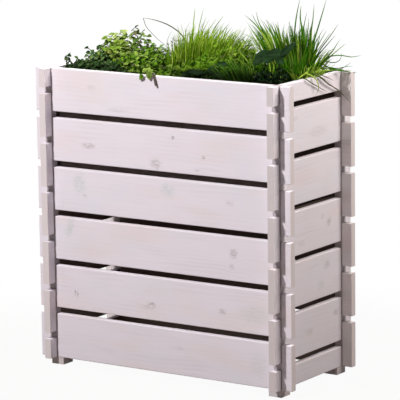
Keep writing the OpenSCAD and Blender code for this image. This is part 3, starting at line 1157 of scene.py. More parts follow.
def track_at(path: Path, t: np.ndarray) -> tuple[np.ndarray, np.ndarray]:
    """A place on a smooth line that passes through all its points, and the direction there.

    Args:
        path: The points, two or more.
        t: How far along, from 0 to 1, as a column.

    Returns:
        The place and the direction.
    """
    knots = np.array([tuple(point) for point in path])
    marks = np.concatenate([[0.0], np.cumsum(np.linalg.norm(np.diff(knots, axis=0), axis=1))])
    pull = np.gradient(knots, marks, axis=0)
    flat = np.ravel(t) * marks[-1]
    leg = np.clip(np.searchsorted(marks, flat, side="right") - 1, 0, len(knots) - 2)
    long = (marks[leg + 1] - marks[leg])[:, None]
    u = (flat[:, None] - marks[leg][:, None]) / long
    low, high, out, into = knots[leg], knots[leg + 1], pull[leg] * long, pull[leg + 1] * long
    bend, twist = 3 * (high - low) - 2 * out - into, 2 * (low - high) + out + into
    run = out + 2 * bend * u + 3 * twist * u ** 2
    return low + out * u + bend * u ** 2 + twist * u ** 3, unit(run)


@dataclass(frozen=True)
class Strand:
    """How a blade is laid: its width at the foot, where its broad face looks, and its sway."""

    width: float
    facing: Vector
    sway: float = 0.0
    curve: Callable = curve_at

    def lay(self, pattern: Pattern, path: Path) -> np.ndarray:
        """Bends a blade along a path.

        Args:
            pattern: The blade.
            path: Points that curve, curve_at or track_at, follows.

        Returns:
            The points of the bent blade.
        """
        t = pattern.points[:, 1][:, None]
        centre, run = self.curve(path, t)
        side = unit(np.cross(run, np.array(self.facing)))
        centre = centre + side * (self.sway * np.sin(t * 6.0) * t)
        return centre + self.width * (side * pattern.points[:, :1]
                                      + np.cross(side, run) * pattern.points[:, 2:])


def leaf_points(pattern: Pattern, foot: Vector, run: Vector, face: Vector, size: Sequence[float],
                curl: float) -> np.ndarray:
    """Places a leaf that curls towards its underside.

    Args:
        pattern: The leaf.
        foot: Where it is attached.
        run: The direction from foot to tip.
        face: The direction that its upper side looks in.
        size: Its length and width.
        curl: Angle between its foot and its tip, in radians.

    Returns:
        The points of the leaf.
    """
    ahead = run.normalized()
    side = ahead.cross(face)
    side = side.normalized() if side.length > 1e-6 else Vector((1.0, 0.0, 0.0))
    length, width = size
    angle = pattern.points[:, 1] * curl
    scale = length / curl
    lift = pattern.points[:, 2] * width
    flat = np.sin(angle) * scale + lift * np.sin(angle)
    rise = (np.cos(angle) - 1) * scale + lift * np.cos(angle)
    return (np.array(foot) + np.outer(flat, ahead) + np.outer(pattern.points[:, 0] * width, side)
            + np.outer(rise, side.cross(ahead)))


@dataclass(frozen=True)
class Plot:
    """What a plant grows with: its mesh, the soil level, the leaf shapes and a source of chance."""

    growth: Growth
    soil: float
    herbs: Herbarium
    draw: random.Random

    def spot(self, x: float, y: float, above: float = ROOT) -> Vector:
        """A place at a height above the soil."""
        return Vector((x, y, self.soil + above))

    def facing(self, up: float) -> Vector:
        """A direction by chance that looks up by so much."""
        return Vector((self.draw.uniform(-1, 1), self.draw.uniform(-1, 1), up))

    def stem(self, path: Path, width: float, shade: float = 0.45) -> None:
        """Adds a bare stem along a curve."""
        points = Strand(width, self.facing(0.1)).lay(self.herbs.blade, path)
        self.growth.add(self.herbs.blade, points, shade)

    def track(self, pattern: Pattern, stroke: "Stroke", facing: Spot) -> None:
        """Adds a blade or twig that passes through the points of a stroke.

        Args:
            pattern: The blade or twig.
            stroke: Its path, width and shade.
            facing: Where its broad face looks.
        """
        path = [self.spot(*point) for point in stroke.points]
        strand = Strand(stroke.width, Vector(facing), curve=track_at)
        self.growth.add(pattern, strand.lay(pattern, path), stroke.shade)


@dataclass(frozen=True)
class Stroke:
    """A listed blade or stem: the points it passes, as x, y and height above the soil."""

    points: tuple[Spot, ...]
    width: float
    shade: float


def wandering(*table: Sequence[float]) -> tuple[Stroke, ...]:
    """Strokes from rows of a width, a shade, and the x, y and height of each point in turn.

    Args:
        table: The rows.

    Returns:
        The strokes.
    """
    return tuple(
        Stroke(spots(*(row[at:at + 3] for at in range(2, len(row), 3))), row[0] / MM, row[1])
        for row in table)


def upright(*table: Sequence[float]) -> tuple[Stroke, ...]:
    """Strokes that keep to one y, from rows of a width, a shade, that y, and each x and height."""
    return tuple(Stroke(spots(*((row[at], row[2], row[at + 1]) for at in range(3, len(row), 2))),
                        row[0] / MM, row[1]) for row in table)


@dataclass(frozen=True)
class BroadLeaf:
    """A listed leaf: its foot, length, width, heading in degrees, lift and shade."""

    x: float
    y: float
    above: float
    length: float
    width: float
    heading: float
    lift: float
    shade: float

    def add(self, plot: Plot, pattern: Pattern, face: Spot) -> None:
        """Adds the leaf to a plant.

        Args:
            plot: What the plant grows with.
            pattern: The shape of the leaf.
            face: Where its upper side looks.
        """
        turn = math.radians(self.heading)
        run = Vector((math.cos(turn), math.sin(turn), self.lift))
        foot = plot.spot(self.x, self.y, self.above)
        points = leaf_points(pattern, foot, run, Vector(face), (self.length, self.width), 0.5)
        plot.growth.add(pattern, points, self.shade)


@dataclass
class Plant:
    """What every plant has: its CAD node, its slot and its finish. Heights are above the soil."""

    name: str
    slot: str
    finish: Foliage
    seed: int
    strokes: tuple[Stroke, ...] = ()
    stroke_facing: Spot = (0.3, -0.8, 0.35)

    def grow(self, bed: Bed, herbs: Herbarium) -> None:
        """Builds the plant as one piece that stands for its CAD node.

        Args:
            bed: The bed that it stands in.
            herbs: The leaf and blade shapes.
        """
        plot = Plot(Growth(), bed.soil, herbs, random.Random(self.seed))
        self.sprout(plot)
        for stroke in self.strokes:
            plot.track(herbs.strand, stroke, self.stroke_facing)
        name = f"{self.name}_growth"
        dress(plot.growth.build(name), name, self.finish.paint(self.name), self.name)

    def sprout(self, plot: Plot) -> None:
        """Adds the plant's stems, leaves and blades."""
        raise NotImplementedError


def spiral(count: int, inset: float, start: float = 0.0) -> Iterator[tuple[float, float, float]]:
    """Spreads shoots evenly about a centre.

    Args:
        count: How many shoots there are.
        inset: How far the first is from the centre, in steps.
        start: The turn of the first, in radians.

    Returns:
        For each shoot, the cosine and sine of its turn and its distance, up to 1.
    """
    for number in range(count):
        turn = SPIRAL * number + start
        yield math.cos(turn), math.sin(turn), math.sqrt((number + inset) / count)


@dataclass(frozen=True)
class Fan:
    """Blades that spring from one spot: its place and radius, their height, reach, lean, count."""

    x: float
    y: float
    radius: float
    height: float
    reach_x: float
    reach_y: float
    lean_x: float
    lean_y: float
    count: int
    tint: tuple[float, float] = (0.0, 1.0)


@dataclass
class Tuft(Plant):
    """Blades fanned out from the soil."""

    fans: tuple[Fan, ...] = ()
    width: float = 0.004
    flat: bool = False
    droop: float = 0.25

    def sprout(self, plot: Plot) -> None:
        """Adds the blades.

        Args:
            plot: What the plant grows with.
        """
        draw = plot.draw
        for fan in self.fans:
            for cos, sin, out in spiral(fan.count, 0.5):
                foot = plot.spot(fan.x + fan.radius * out * cos, fan.y + fan.radius * out * sin)
                tall = fan.height * (1 - 0.34 * out * draw.random()) * draw.uniform(0.76, 1.0)
                reach = out * draw.uniform(0.5, 1.1)
                tip = foot + Vector((
                    fan.reach_x * reach * cos + fan.lean_x * tall / fan.height,
                    fan.reach_y * reach * sin + fan.lean_y * tall / fan.height, tall))
                self._blade(plot, foot, tip, fan.tint)

    def _blade(self, plot: Plot, foot: Vector, tip: Vector, tint: tuple[float, float]) -> None:
        """Adds one blade that rises steeply and then leans over to its tip.

        Args:
            plot: What the plant grows with.
            foot: Its foot.
            tip: Its tip.
            tint: The least and the greatest shade.
        """
        draw = plot.draw
        pattern = plot.herbs.flat_blade if self.flat else plot.herbs.blade
        span = tip - foot
        bend = self.droop * draw.uniform(0.5, 1.4)
        rise = max(span.z, 0.03) * draw.uniform(0.55, 0.75)
        path = (foot, foot + Vector((span.x * bend, span.y * bend, rise)), tip)
        facing = plot.facing(0.2)
        strand = Strand(self.width * draw.uniform(0.7, 1.1), facing, draw.uniform(-1, 1) * 0.008)
        plot.growth.add(pattern, strand.lay(pattern, path), draw.uniform(*tint))


@dataclass(frozen=True)
class Clump:
    """A cushion of leafy stems: its place, height above the soil, reach and number of stems."""

    x: float
    y: float
    above: float
    reach: float
    stems: int


@dataclass
class Bush(Plant):
    """Leafy stems in cushions, with some whose tips are listed."""

    clumps: tuple[Clump, ...] = ()
    leaf: str = "oval"
    length: float = 0.015
    width: float = 0.010
    steps: int = 4
    stalk: float = 0.0018
    curl: float = 0.8
    droop: tuple[float, float] = (-0.7, 0.4)
    tips: tuple[Spot, ...] = ()

    def sprout(self, plot: Plot) -> None:
        """Adds all the stems with their leaves.

        Args:
            plot: What the plant grows with.
        """
        for clump in self.clumps:
            for cos, sin, out in spiral(clump.stems, 0.4, clump.x * 40):
                near, far = 0.45 * clump.reach * out, clump.reach * out
                foot = plot.spot(clump.x + near * cos, clump.y + near * sin)
                dome = math.sqrt(1.0 - 0.72 * out * out)
                tall = clump.above * dome * plot.draw.uniform(0.80, 1.0)
                tip = plot.spot(clump.x + far * cos, clump.y + far * sin, tall)
                self.leafy(plot, foot, tip, self.steps, 1.0)
        for x, y, above in self.tips:
            near = self.nearest(x, y)
            foot = plot.spot((near.x + x) / 2, (near.y + y) / 2)
            self.leafy(plot, foot, plot.spot(x, y, above), self.steps + 2, 1.25)

    def nearest(self, x: float, y: float) -> Clump:
        """The clump that is nearest to a place."""
        return min(self.clumps, key=lambda clump: math.hypot(clump.x - x, clump.y - y))

    def leafy(self, plot: Plot, foot: Vector, tip: Vector, steps: int, lush: float) -> None:
        """Adds one stem with its leaves.

        Args:
            plot: What the stem grows with.
            foot: Foot of the stem.
            tip: Tip of the stem.
            steps: How many tiers of leaves it has.
            lush: Size of its leaves over the plant's usual one.
        """
        draw = plot.draw
        span = tip - foot
        path = (foot, foot + Vector((span.x * 0.3, span.y * 0.3, span.z * 0.7)), tip)
        plot.stem(path, self.stalk)
        turn = draw.uniform(0, math.pi)
        for step in range(steps):
            share = 0.34 + 0.66 * (step + 1) / steps
            node = Vector(curve_at(path, share)[0])
            size = (1.12 - 0.40 * share) * draw.uniform(0.8, 1.15) * lush
            turn += math.pi / 2 + draw.uniform(-0.4, 0.4)
            for half in (0.0, math.pi):
                self.leaf_at(plot, node, turn + half, size)
        self.leaf_at(plot, tip, turn, 0.7 * lush, 1.2)

    def leaf_at(self, plot: Plot, foot: Vector, turn: float, size: float,
                lift: float | None = None) -> None:
        """Adds one leaf.

        Args:
            plot: What the leaf grows with.
            foot: Where it is attached.
            turn: Its heading, seen from above.
            size: Its size over the plant's usual one.
            lift: How steeply it rises, or None for chance.
        """
        draw = plot.draw
        rise = draw.uniform(*self.droop) if lift is None else lift
        run = Vector((math.cos(turn), math.sin(turn), rise))
        face = Vector((draw.uniform(-0.5, 0.5), draw.uniform(-0.9, 0.3), 1.0))
        pattern = getattr(plot.herbs, self.leaf)
        points = leaf_points(pattern, foot, run, face, (self.length * size, self.width * size),
                             self.curl * draw.uniform(0.5, 1.4))
        plot.growth.add(pattern, points, draw.random())


@dataclass
class Chervil(Bush):
    """Chervil with a leafy sprig and a woody twig that hang over the front rim."""

    hanging: tuple[BroadLeaf, ...] = ()
    twig: tuple[Stroke, ...] = ()

    def sprout(self, plot: Plot) -> None:
        """Adds the bush, the hanging leaves and the twig.

        Args:
            plot: What the plant grows with.
        """
        super().sprout(plot)
        for leaf in self.hanging:
            leaf.add(plot, plot.herbs.fan, (0.1, -0.9, 0.6))
        for stroke in self.twig:
            plot.track(plot.herbs.twig, stroke, (0.1, -1.0, 0.3))


@dataclass
class Lavender(Plant):
    """Thin grey stems with narrow buds."""

    x: float = -0.062
    y: float = 0.020
    stems: int = 16
    height: float = 0.135

    def sprout(self, plot: Plot) -> None:
        """Adds the stems.

        Args:
            plot: What the plant grows with.
        """
        draw = plot.draw.uniform
        for _ in range(self.stems):
            foot = plot.spot(self.x + draw(-0.03, 0.03), self.y + draw(-0.02, 0.02))
            tall = self.height * draw(0.60, 1.0)
            tip = foot + Vector((draw(-0.035, 0.040), draw(-0.02, 0.02), tall))
            path = (foot, (foot + tip) / 2 + Vector((draw(-0.012, 0.012), 0.0, 0.01)), tip)
            plot.stem(path, 0.0017, 0.5)
            for step in range(5):
                self._whorl(plot, Vector(curve_at(path, 0.55 + 0.10 * step)[0]))

    @staticmethod
    def _whorl(plot: Plot, place: Vector) -> None:
        """Adds a whorl of narrow leaves.

        Args:
            plot: What the plant grows with.
            place: Where it sits on its stem.
        """
        bud, draw = plot.herbs.bud, plot.draw
        for turn in (0.0, 2.1, 4.2):
            angle = turn + draw.uniform(-0.6, 0.6)
            run = Vector((math.cos(angle), math.sin(angle), 1.6))
            size = (draw.uniform(0.006, 0.011), 0.0020)
            points = leaf_points(bud, place, run, Vector((0.0, 0.0, 1.0)), size, 0.4)
            plot.growth.add(bud, points, draw.random())


@dataclass
class Sage(Bush):
    """Sage with large dark leaves over small ones, and a row of flat leaves along the front rim."""

    leaves: tuple[BroadLeaf, ...] = ()

    def sprout(self, plot: Plot) -> None:
        """Adds the small-leaved stems and the large leaves.

        Args:
            plot: What the plant grows with.
        """
        super().sprout(plot)
        for leaf in self.leaves:
            near = self.nearest(leaf.x, leaf.y)
            root, foot = plot.spot(near.x, near.y), plot.spot(leaf.x, leaf.y, leaf.above)
            middle = (root + foot) / 2 + Vector((0.0, 0.0, leaf.above * 0.35))
            plot.stem((root, middle, foot), 0.0030, 0.4)
            leaf.add(plot, plot.herbs.broad, (0.45, -0.85, 0.75))


@dataclass
class SoilBody:
    """The compost: a closed block with an uneven crumbly top and rounded upright corners."""

    finish: Compost = Compost()
    cell: float = 0.008
    swell: float = 0.0033
    ripple: float = 0.0018
    below: float = 0.004
    play: float = 0.001
    corner: float = 0.012
    crumb_count: int = 420
    seed: int = 77

    def build(self) -> None:
        """Builds the block and the crumbs on it."""
        low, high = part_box("soil")
        size = high - low
        columns, rows = int(size.x / self.cell), int(size.y / self.cell)
        block = basic(bpy.ops.mesh.primitive_grid_add,
                      (size.x - self.play, size.y - self.play, 1.0),
                      size=1.0, x_subdivisions=columns, y_subdivisions=rows,
                      location=((low.x + high.x) / 2, (low.y + high.y) / 2, high.z))
        with Edit(block) as edit:
            edit.extrude(0.0, 0.0, low.z - high.z)
            edit.face_outward()
        for point in block.data.vertices:
            spot = point.co
            if spot.z > high.z - 0.01:
                edge = min(spot.x - low.x, high.x - spot.x, spot.y - low.y, high.y - spot.y)
                spot.z = high.z - self.below + self._level(spot) * min(1.0, edge / 0.03 + 0.3)
        self._round_corners(block, low, high)
        crumbs = self._crumbs(low, high)
        activate(block)
        crumbs.select_set(True)
        bpy.ops.object.join()
        dress(block, "potting_soil", self.finish.paint("compost"), "soil")

    def _crumbs(self, low: Vector, high: Vector) -> Piece:
        """Scatters rough crumbs over the top.

        Args:
            low: Lowest corner of the soil.
            high: Its highest corner.

        Returns:
            The crumbs as one object.
        """
        piece = basic(bpy.ops.mesh.primitive_ico_sphere_add, subdivisions=1, radius=1.0)
        with Edit(piece):
            bpy.ops.transform.vertex_random(offset=0.25, seed=5)
        crumb = Pattern.take(piece)
        growth = Growth()
        draw = random.Random(self.seed).uniform
        inset = self.corner
        for _ in range(self.crumb_count):
            x, y = draw(low.x + inset, high.x - inset), draw(low.y + inset, high.y - inset)
            size = draw(0.0015, 0.0048)
            turn = Matrix.Rotation(draw(0, 6), 3, "Z") @ Matrix.Rotation(draw(0, 6), 3, "X")
            stretch = Vector((draw(0.7, 1.6), draw(0.7, 1.2), draw(0.6, 1.0))) * size
            level = high.z - self.below + self._level(Vector((x, y, 0.0))) + size * 0.3
            growth.add(crumb, placed(crumb.points, (x, y, level), turn, stretch))
        return growth.build("crumbs")

    def _round_corners(self, block: Piece, low: Vector, high: Vector) -> None:
        """Pulls the four upright corners in to follow the liner.

        Args:
            block: The block.
            low: Lowest corner of the soil.
            high: Its highest corner.
        """
        corner = self.corner
        sides = [(ex, sx, ey, sy) for ex, sx in ((low.x, 1), (high.x, -1))
                 for ey, sy in ((low.y, 1), (high.y, -1))]
        for point in block.data.vertices:
            spot = point.co
            for ex, sx, ey, sy in sides:
                dx, dy = (ex + sx * corner - spot.x) * sx, (ey + sy * corner - spot.y) * sy
                far = math.hypot(dx, dy)
                if dx > 0 and dy > 0 and far > corner:
                    spot.x = ex + sx * (corner - dx * corner / far)
                    spot.y = ey + sy * (corner - dy * corner / far)

    def _level(self, spot: Vector) -> float:
        """Height of the uneven top at a place, about its mean.

        Args:
            spot: The place.

        Returns:
            The height.
        """
        wide = noise.noise(Vector((spot.x * 9, spot.y * 9, 3.0)))
        fine = noise.noise(Vector((spot.x * 70, spot.y * 70, 9.0)))
        return self.swell * wide + self.ripple * fine


@dataclass
class Liner:
    """The fabric box, lofted from its outline, that bulges a little into the gaps of the walls."""

    finish: FeltFabric = FeltFabric()
    row: float = 0.005
    wall: float = 0.0024
    corner: float = 0.014
    bulge: float = 0.0022
    crease: float = 0.0012
    sag: float = 0.003

    def build(self) -> None:
        """Builds the liner."""
        low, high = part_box("liner")
        size = high - low
        shell = basic(bpy.ops.mesh.primitive_plane_add, (size.x, size.y, 1.0), size=1.0,
                      location=((low.x + high.x) / 2, (low.y + high.y) / 2, low.z))
        near = NEAR / 10
        with Edit(shell) as edit:
            bpy.ops.mesh.bevel(offset=self.corner, segments=5, affect="VERTICES")
            edit.everything()
            bpy.ops.mesh.delete(type="ONLY_FACE")
            edit.pick(lambda p: abs(p.y) > size.y / 2 - near, "EDGE")
            bpy.ops.mesh.subdivide(number_cuts=80)
            edit.pick(lambda p: abs(p.x) > size.x / 2 - near, "EDGE")
            bpy.ops.mesh.subdivide(number_cuts=32)
            edit.everything()
            bpy.ops.mesh.extrude_edges_move(TRANSFORM_OT_translate={"value": (0.0, 0.0, size.z)})
            edit.pick(lambda p: low.z + near < p.z < high.z - near, "EDGE")
            bpy.ops.mesh.subdivide(number_cuts=round(size.z / self.row) - 1)
            edit.pick(lambda p: p.z < low.z + near, "EDGE")
            bpy.ops.mesh.edge_face_add()
            edit.everything()
            bpy.ops.mesh.remove_doubles(threshold=1e-5)
            edit.face_outward()
        self._work(shell, low, high)
        apply_modifier(shell, "SOLIDIFY", thickness=self.wall, offset=-1.0)
        smooth(shell, 60)
        dress(shell, "fabric_liner", self.finish.paint("felt_fabric"), "liner")

    def _work(self, shell: Piece, low: Vector, high: Vector) -> None:
        """Pushes the fabric into the gaps, and lets its top edge sag and wave.

        Args:
            shell: The open box, before its wall gets its thickness.
            low: Lowest corner of the liner.
            high: Its highest corner.
        """
        middle, half = (low + high) / 2, (high - low) / 2
        gaps = {0: self._gaps("right", 7), 1: self._gaps("front", 6)}
        for point in shell.data.vertices:
            spot = point.co
            off = [abs(abs(spot[axis] - middle[axis]) - half[axis]) for axis in (0, 1)]
            walls = [axis for axis in (1, 0) if off[axis] < NEAR / 10]
            if spot.z < low.z + 0.003 or not walls:
                continue
            axis = walls[0]
            step = self._gap_share(spot.z, gaps[axis])
            fold = noise.noise(Vector((spot.x * 14, spot.y * 14, spot.z * 22)))
            shift = self.bulge * step - self.crease * max(0.0, fold) * (1 - step)
            spot[axis] += math.copysign(shift, spot[axis] - middle[axis])
            if spot.z > high.z - 0.004:
                wave = noise.noise(Vector((spot.x * 16, spot.y * 16, 1.0)))
                spot.z -= self.sag * (0.5 + 0.5 * wave)

    @staticmethod
    def _gaps(wall: str, count: int) -> list[tuple[float, float]]:
        """Foot and top of each gap between the boards of a wall."""
        boxes = [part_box(f"{wall}_board_{number + 1}") for number in range(count)]
        return [(below[1].z, above[0].z) for below, above in zip(boxes, boxes[1:])]

    @staticmethod
    def _gap_share(level: float, gaps: Sequence[tuple[float, float]]) -> float:
        """How far a level lies into a gap of a wall, from 0 at a board to 1 in mid gap.

        Args:
            level: The level.
            gaps: Foot and top of each gap.

        Returns:
            The share.
        """
        for foot, top in gaps:
            if foot < level < top:
                return math.sin(math.pi * (level - foot) / (top - foot))
        return 0.0


@dataclass
class Garden:
    """All the herbs, as the photograph shows them. A green goes from foot to tip, dry and pale."""

    bed: Bed
    herbs: Herbarium = field(default_factory=Herbarium)

    mint_green: Foliage = Foliage((0.016, 0.052, 0.012), (0.068, 0.155, 0.034), (0.1, 0.1, 0.03),
        (0.24, 0.38, 0.12), 0.45, low_shade=0.7)
    parsley_green: Foliage = Foliage((0.11, 0.2, 0.02), (0.3, 0.47, 0.05), (0.34, 0.24, 0.1),
        (0.74, 0.84, 0.34), 0.42)
    oregano_green: Foliage = Foliage((0.05, 0.1, 0.018), (0.14, 0.26, 0.04), (0.2, 0.11, 0.07),
        (0.3, 0.42, 0.1), 0.45)
    chervil_green: Foliage = Foliage((0.022, 0.09, 0.003), (0.165, 0.36, 0.012), (0.15, 0.11, 0.1),
        (0.5, 0.66, 0.13), 0.45, low_shade=0.35)
    dill_green: Foliage = Foliage((0.085, 0.25, 0.012), (0.32, 0.6, 0.03), (0.13, 0.15, 0.05),
        (0.62, 0.82, 0.12), 0.5, low_shade=0.85)
    lavender_grey: Foliage = Foliage((0.1, 0.12, 0.05), (0.13, 0.14, 0.1), (0.16, 0.12, 0.1),
        (0.2, 0.18, 0.2), 0.6)
    grass_green: Foliage = Foliage((0.04, 0.14, 0.003), (0.29, 0.51, 0.022), (0.34, 0.33, 0.14),
        (0.78, 0.88, 0.17), 0.38)
    sage_green: Foliage = Foliage((0.005, 0.018, 0.004), (0.013, 0.037, 0.01), (0.06, 0.05, 0.03),
        (0.052, 0.095, 0.046), 0.55, low_shade=0.6)
    chive_green: Foliage = Foliage((0.028, 0.118, 0.003), (0.07, 0.215, 0.009),
        (0.105, 0.095, 0.045), (0.56, 0.72, 0.1), 0.34)
    front_green: Foliage = Foliage((0.011, 0.05, 0.002), (0.06, 0.185, 0.009), (0.11, 0.105, 0.045),
        (0.34, 0.56, 0.05), 0.34, low_shade=0.9, low=(0.875, 0.842))

    def plant(self) -> None:
        """Grows every plant."""
        for plant in self.low_herbs() + self.middle_herbs() + self.chives():
            plant.grow(self.bed, self.herbs)

    def low_herbs(self) -> list[Plant]:
        """The leafy herbs of the left half.

        Returns:
            The plants.
        """
        mint = Bush(
            "mint_plant", "mint_leaf", self.mint_green, 3, length=0.0165, width=0.0115,
            clumps=rows(Clump, 4, (-322, -112, 50, 26, 14), (-285, -100, 60, 36, 26),
                (-235, -105, 66, 38, 28), (-185, -112, 60, 34, 24), (-310, -55, 56, 38, 22),
                (-262, -50, 68, 40, 22), (-325, 0, 48, 28, 12), (-145, -122, 50, 22, 10)),
            tips=spots((-342, -112, 70), (-302, -70, 86), (-290, -60, 76), (-322, -90, 58),
                (-255, -70, 86), (-275, -80, 74)))
        parsley = Bush(
            "parsley_plant", "parsley_leaf", self.parsley_green, 5,
            leaf="fan", length=0.030, width=0.031, steps=2, droop=(-0.2, 0.9),
            clumps=rows(Clump, 4, (-262, 8, 108, 45, 16), (-220, -15, 114, 40, 15),
                (-300, 30, 82, 34, 10)),
            tips=spots((-236, -10, 122), (-274, 0, 112), (-300, 0, 90), (-215, 0, 116),
                (-250, -20, 105), (-260, 20, 118)))
        oregano = Bush(
            "oregano_plant", "oregano_leaf", self.oregano_green, 6,
            length=0.0165, width=0.0120, steps=5,
            clumps=rows(Clump, 4, (-182, -2, 110, 28, 12), (-150, 4, 108, 30, 13)),
            tips=spots((-192, 0, 142), (-172, 4, 130), (-152, 0, 120), (-186, 6, 132)))
        chervil = Chervil(
            "chervil_plant", "chervil_leaf", self.chervil_green, 8,
            leaf="fern", length=0.026, width=0.026, steps=3,
            clumps=rows(Clump, 4, (-165, -68, 86, 38, 28), (-118, -78, 88, 40, 32),
                (-70, -82, 76, 38, 28), (-130, -20, 104, 40, 28), (-90, -28, 98, 38, 26),
                (-55, -45, 76, 32, 20), (-22, -95, 58, 30, 16)),
            hanging=rows(BroadLeaf, 5, (-34, -170, 44, 26, 22, 115, 1.6, 1.0),
                (-34, -170, 46, 20, 18, 40, 1.0, 0.9), (-36, -170, 48, 22, 20, 170, 0.9, 0.95),
                (-46, -170, 50, 26, 18, 215, -1.2, 0.45), (-30, -170, 54, 24, 22, -60, -1.7, 1.0)),
            twig=wandering(
                (8.4, 0.0, -50, -125, -4, -34, -144, 42, -22, -158, 47, -13, -168, 38, -9, -170.5,
                 26, -6, -170.5, 15)),
            strokes=wandering(
                (3, 0.8, -85, -105, -4, -62, -135, 44, -46, -158, 54, -34, -172, 44)))
        return [mint, parsley, oregano, chervil]

    def middle_herbs(self) -> list[Plant]:
        """Lavender, grass, dill and sage.

        Returns:
            The plants.
        """
        lavender = Lavender(
            "lavender_plant", "lavender_stem", self.lavender_grey, 21,
            strokes=upright(
                (4.8, 0.3, 0, 20, -4, -14, 90, -35, 130, -68, 151, -104, 163, -140, 169, -164, 170),
                (1.8, 0.3, 0, -163, 170, -155, 149, -134, 129, -115, 114, -98, 104, -82, 92),
                (2, 0.5, 0, -75, -4, -84, 90, -86, 104, -78, 126, -68, 141),
                (1.8, 0.5, 0, -58, -4, -56, 95, -57, 133),
                (1.8, 0.5, 10, -30, -4, -35, 115, -40, 145, -46, 160),
                (1.8, 0.5, 10, -30, -4, -32, 115, -29, 145, -15, 165),
                (2.2, 0.8, 20, 10, -4, 7, 130, 16, 159, 30, 171)))
        grass = Tuft(
            "grass_tuft", "grass_blade", self.grass_green, 11, width=0.0038, flat=True, droop=0.38,
            fans=rows(Fan, 8, (0, -12, 34, 176, 44, 60, 36, 0, 290),
                (44, 0, 36, 172, 52, 62, 50, 0, 300), (86, 2, 30, 154, 48, 50, 54, 0, 210),
                (-30, -30, 26, 124, 34, 40, 22, 0, 170)),
            strokes=(upright((5.2, 0.3, 0, -5, -4, 1, 150, 8, 206),
                (4.2, 0.4, 0, 5, -4, 19, 148, 36, 207))
            + wandering((4.6, 0.3, 20, 0, -4, 43, 5, 110, 70, 5, 158, 97, 5, 190))
            + upright((4.2, 0.4, -5, 15, -4, 36, 122, 80, 182),
                (4.4, 0.3, 0, 30, -4, 54, 112, 95, 166),
                (5, 0.2, 8, 30, -4, 60, 100, 88, 143, 113, 170),
                (4.4, 0.3, -5, 40, -4, 78, 100, 131, 164),
                (4.2, 0.3, 5, 55, -4, 96, 105, 132, 137, 153, 154),
                (4, 0.4, 10, 5, -4, 20, 140, 37, 183), (4, 0.4, -10, 12, -4, 34, 136, 60, 179),
                (4, 0.6, -10, -20, -4, -20, 90, -5, 143),
                (3.8, 0.7, -30, -12, -4, -20, 60, -40, 88))))
        dill = Bush(
            "dill_plant", "dill_leaf", self.dill_green, 14,
            leaf="feather", length=0.034, width=0.032, steps=3, curl=0.5, droop=(-0.3, 1.0),
            clumps=rows(Clump, 4, (118, -20, 118, 44, 30), (150, 35, 118, 42, 24),
                (84, -58, 92, 38, 22), (40, -74, 76, 36, 16)),
            strokes=upright(
                (2.8, 0.05, -10, 175, -4, 216, 91, 213, 117, 204, 133, 185, 143, 163, 148),
                (2.6, 0.05, -10, 150, -4, 168, 88, 178, 121, 197, 139, 214, 131, 222, 114),
                (2.5, 0.05, -10, 180, -4, 190, 84, 181, 113, 169, 129),
                (2.6, 0.05, 10, 190, -4, 214, 83, 210, 115, 197, 138, 192, 152),
                (2.5, 0.05, -20, 150, -4, 152, 99, 165, 121, 188, 128, 204, 121, 212, 103),
                (2.5, 0.05, 0, 190, -4, 198, 78, 202, 105, 212, 124, 220, 134)))
        sage = Sage(
            "sage_plant", "sage_leaf", self.sage_green, 23, length=0.018, width=0.012, steps=3,
            clumps=rows(Clump, 4, (275, -70, 66, 34, 10), (312, -55, 70, 30, 8),
                (235, -62, 60, 26, 6), (100, -112, 42, 24, 9), (52, -116, 38, 22, 7),
                (285, -105, 42, 28, 10)),
            leaves=rows(BroadLeaf, 5, (276, -70, 103, 62, 36, 0, 0.22, 0.3),
                (284, -66, 94, 46, 44, 182, 0.35, 0.2), (322, -70, 103, 58, 20, 6, 1.0, 0.6),
                (276, -78, 100, 30, 26, 215, -0.45, 0.6), (316, -72, 100, 26, 22, -25, -0.55, 0.35),
                (300, -74, 100, 30, 26, 250, -0.2, 0.25), (262, -66, 88, 28, 22, 200, -0.2, 0.3),
                (50, -112, 49, 58, 16, 5, 0.13, 0.35), (66, -108, 44, 34, 16, 190, 0.05, 0.3),
                (116, -110, 56, 34, 22, 8, 0.35, 0.5), (144, -106, 72, 32, 18, 10, 0.3, 0.3),
                (106, -112, 50, 30, 16, 200, 0.1, 0.35), (134, -110, 50, 36, 18, -10, 0.0, 0.2)))
        return [lavender, grass, dill, sage]

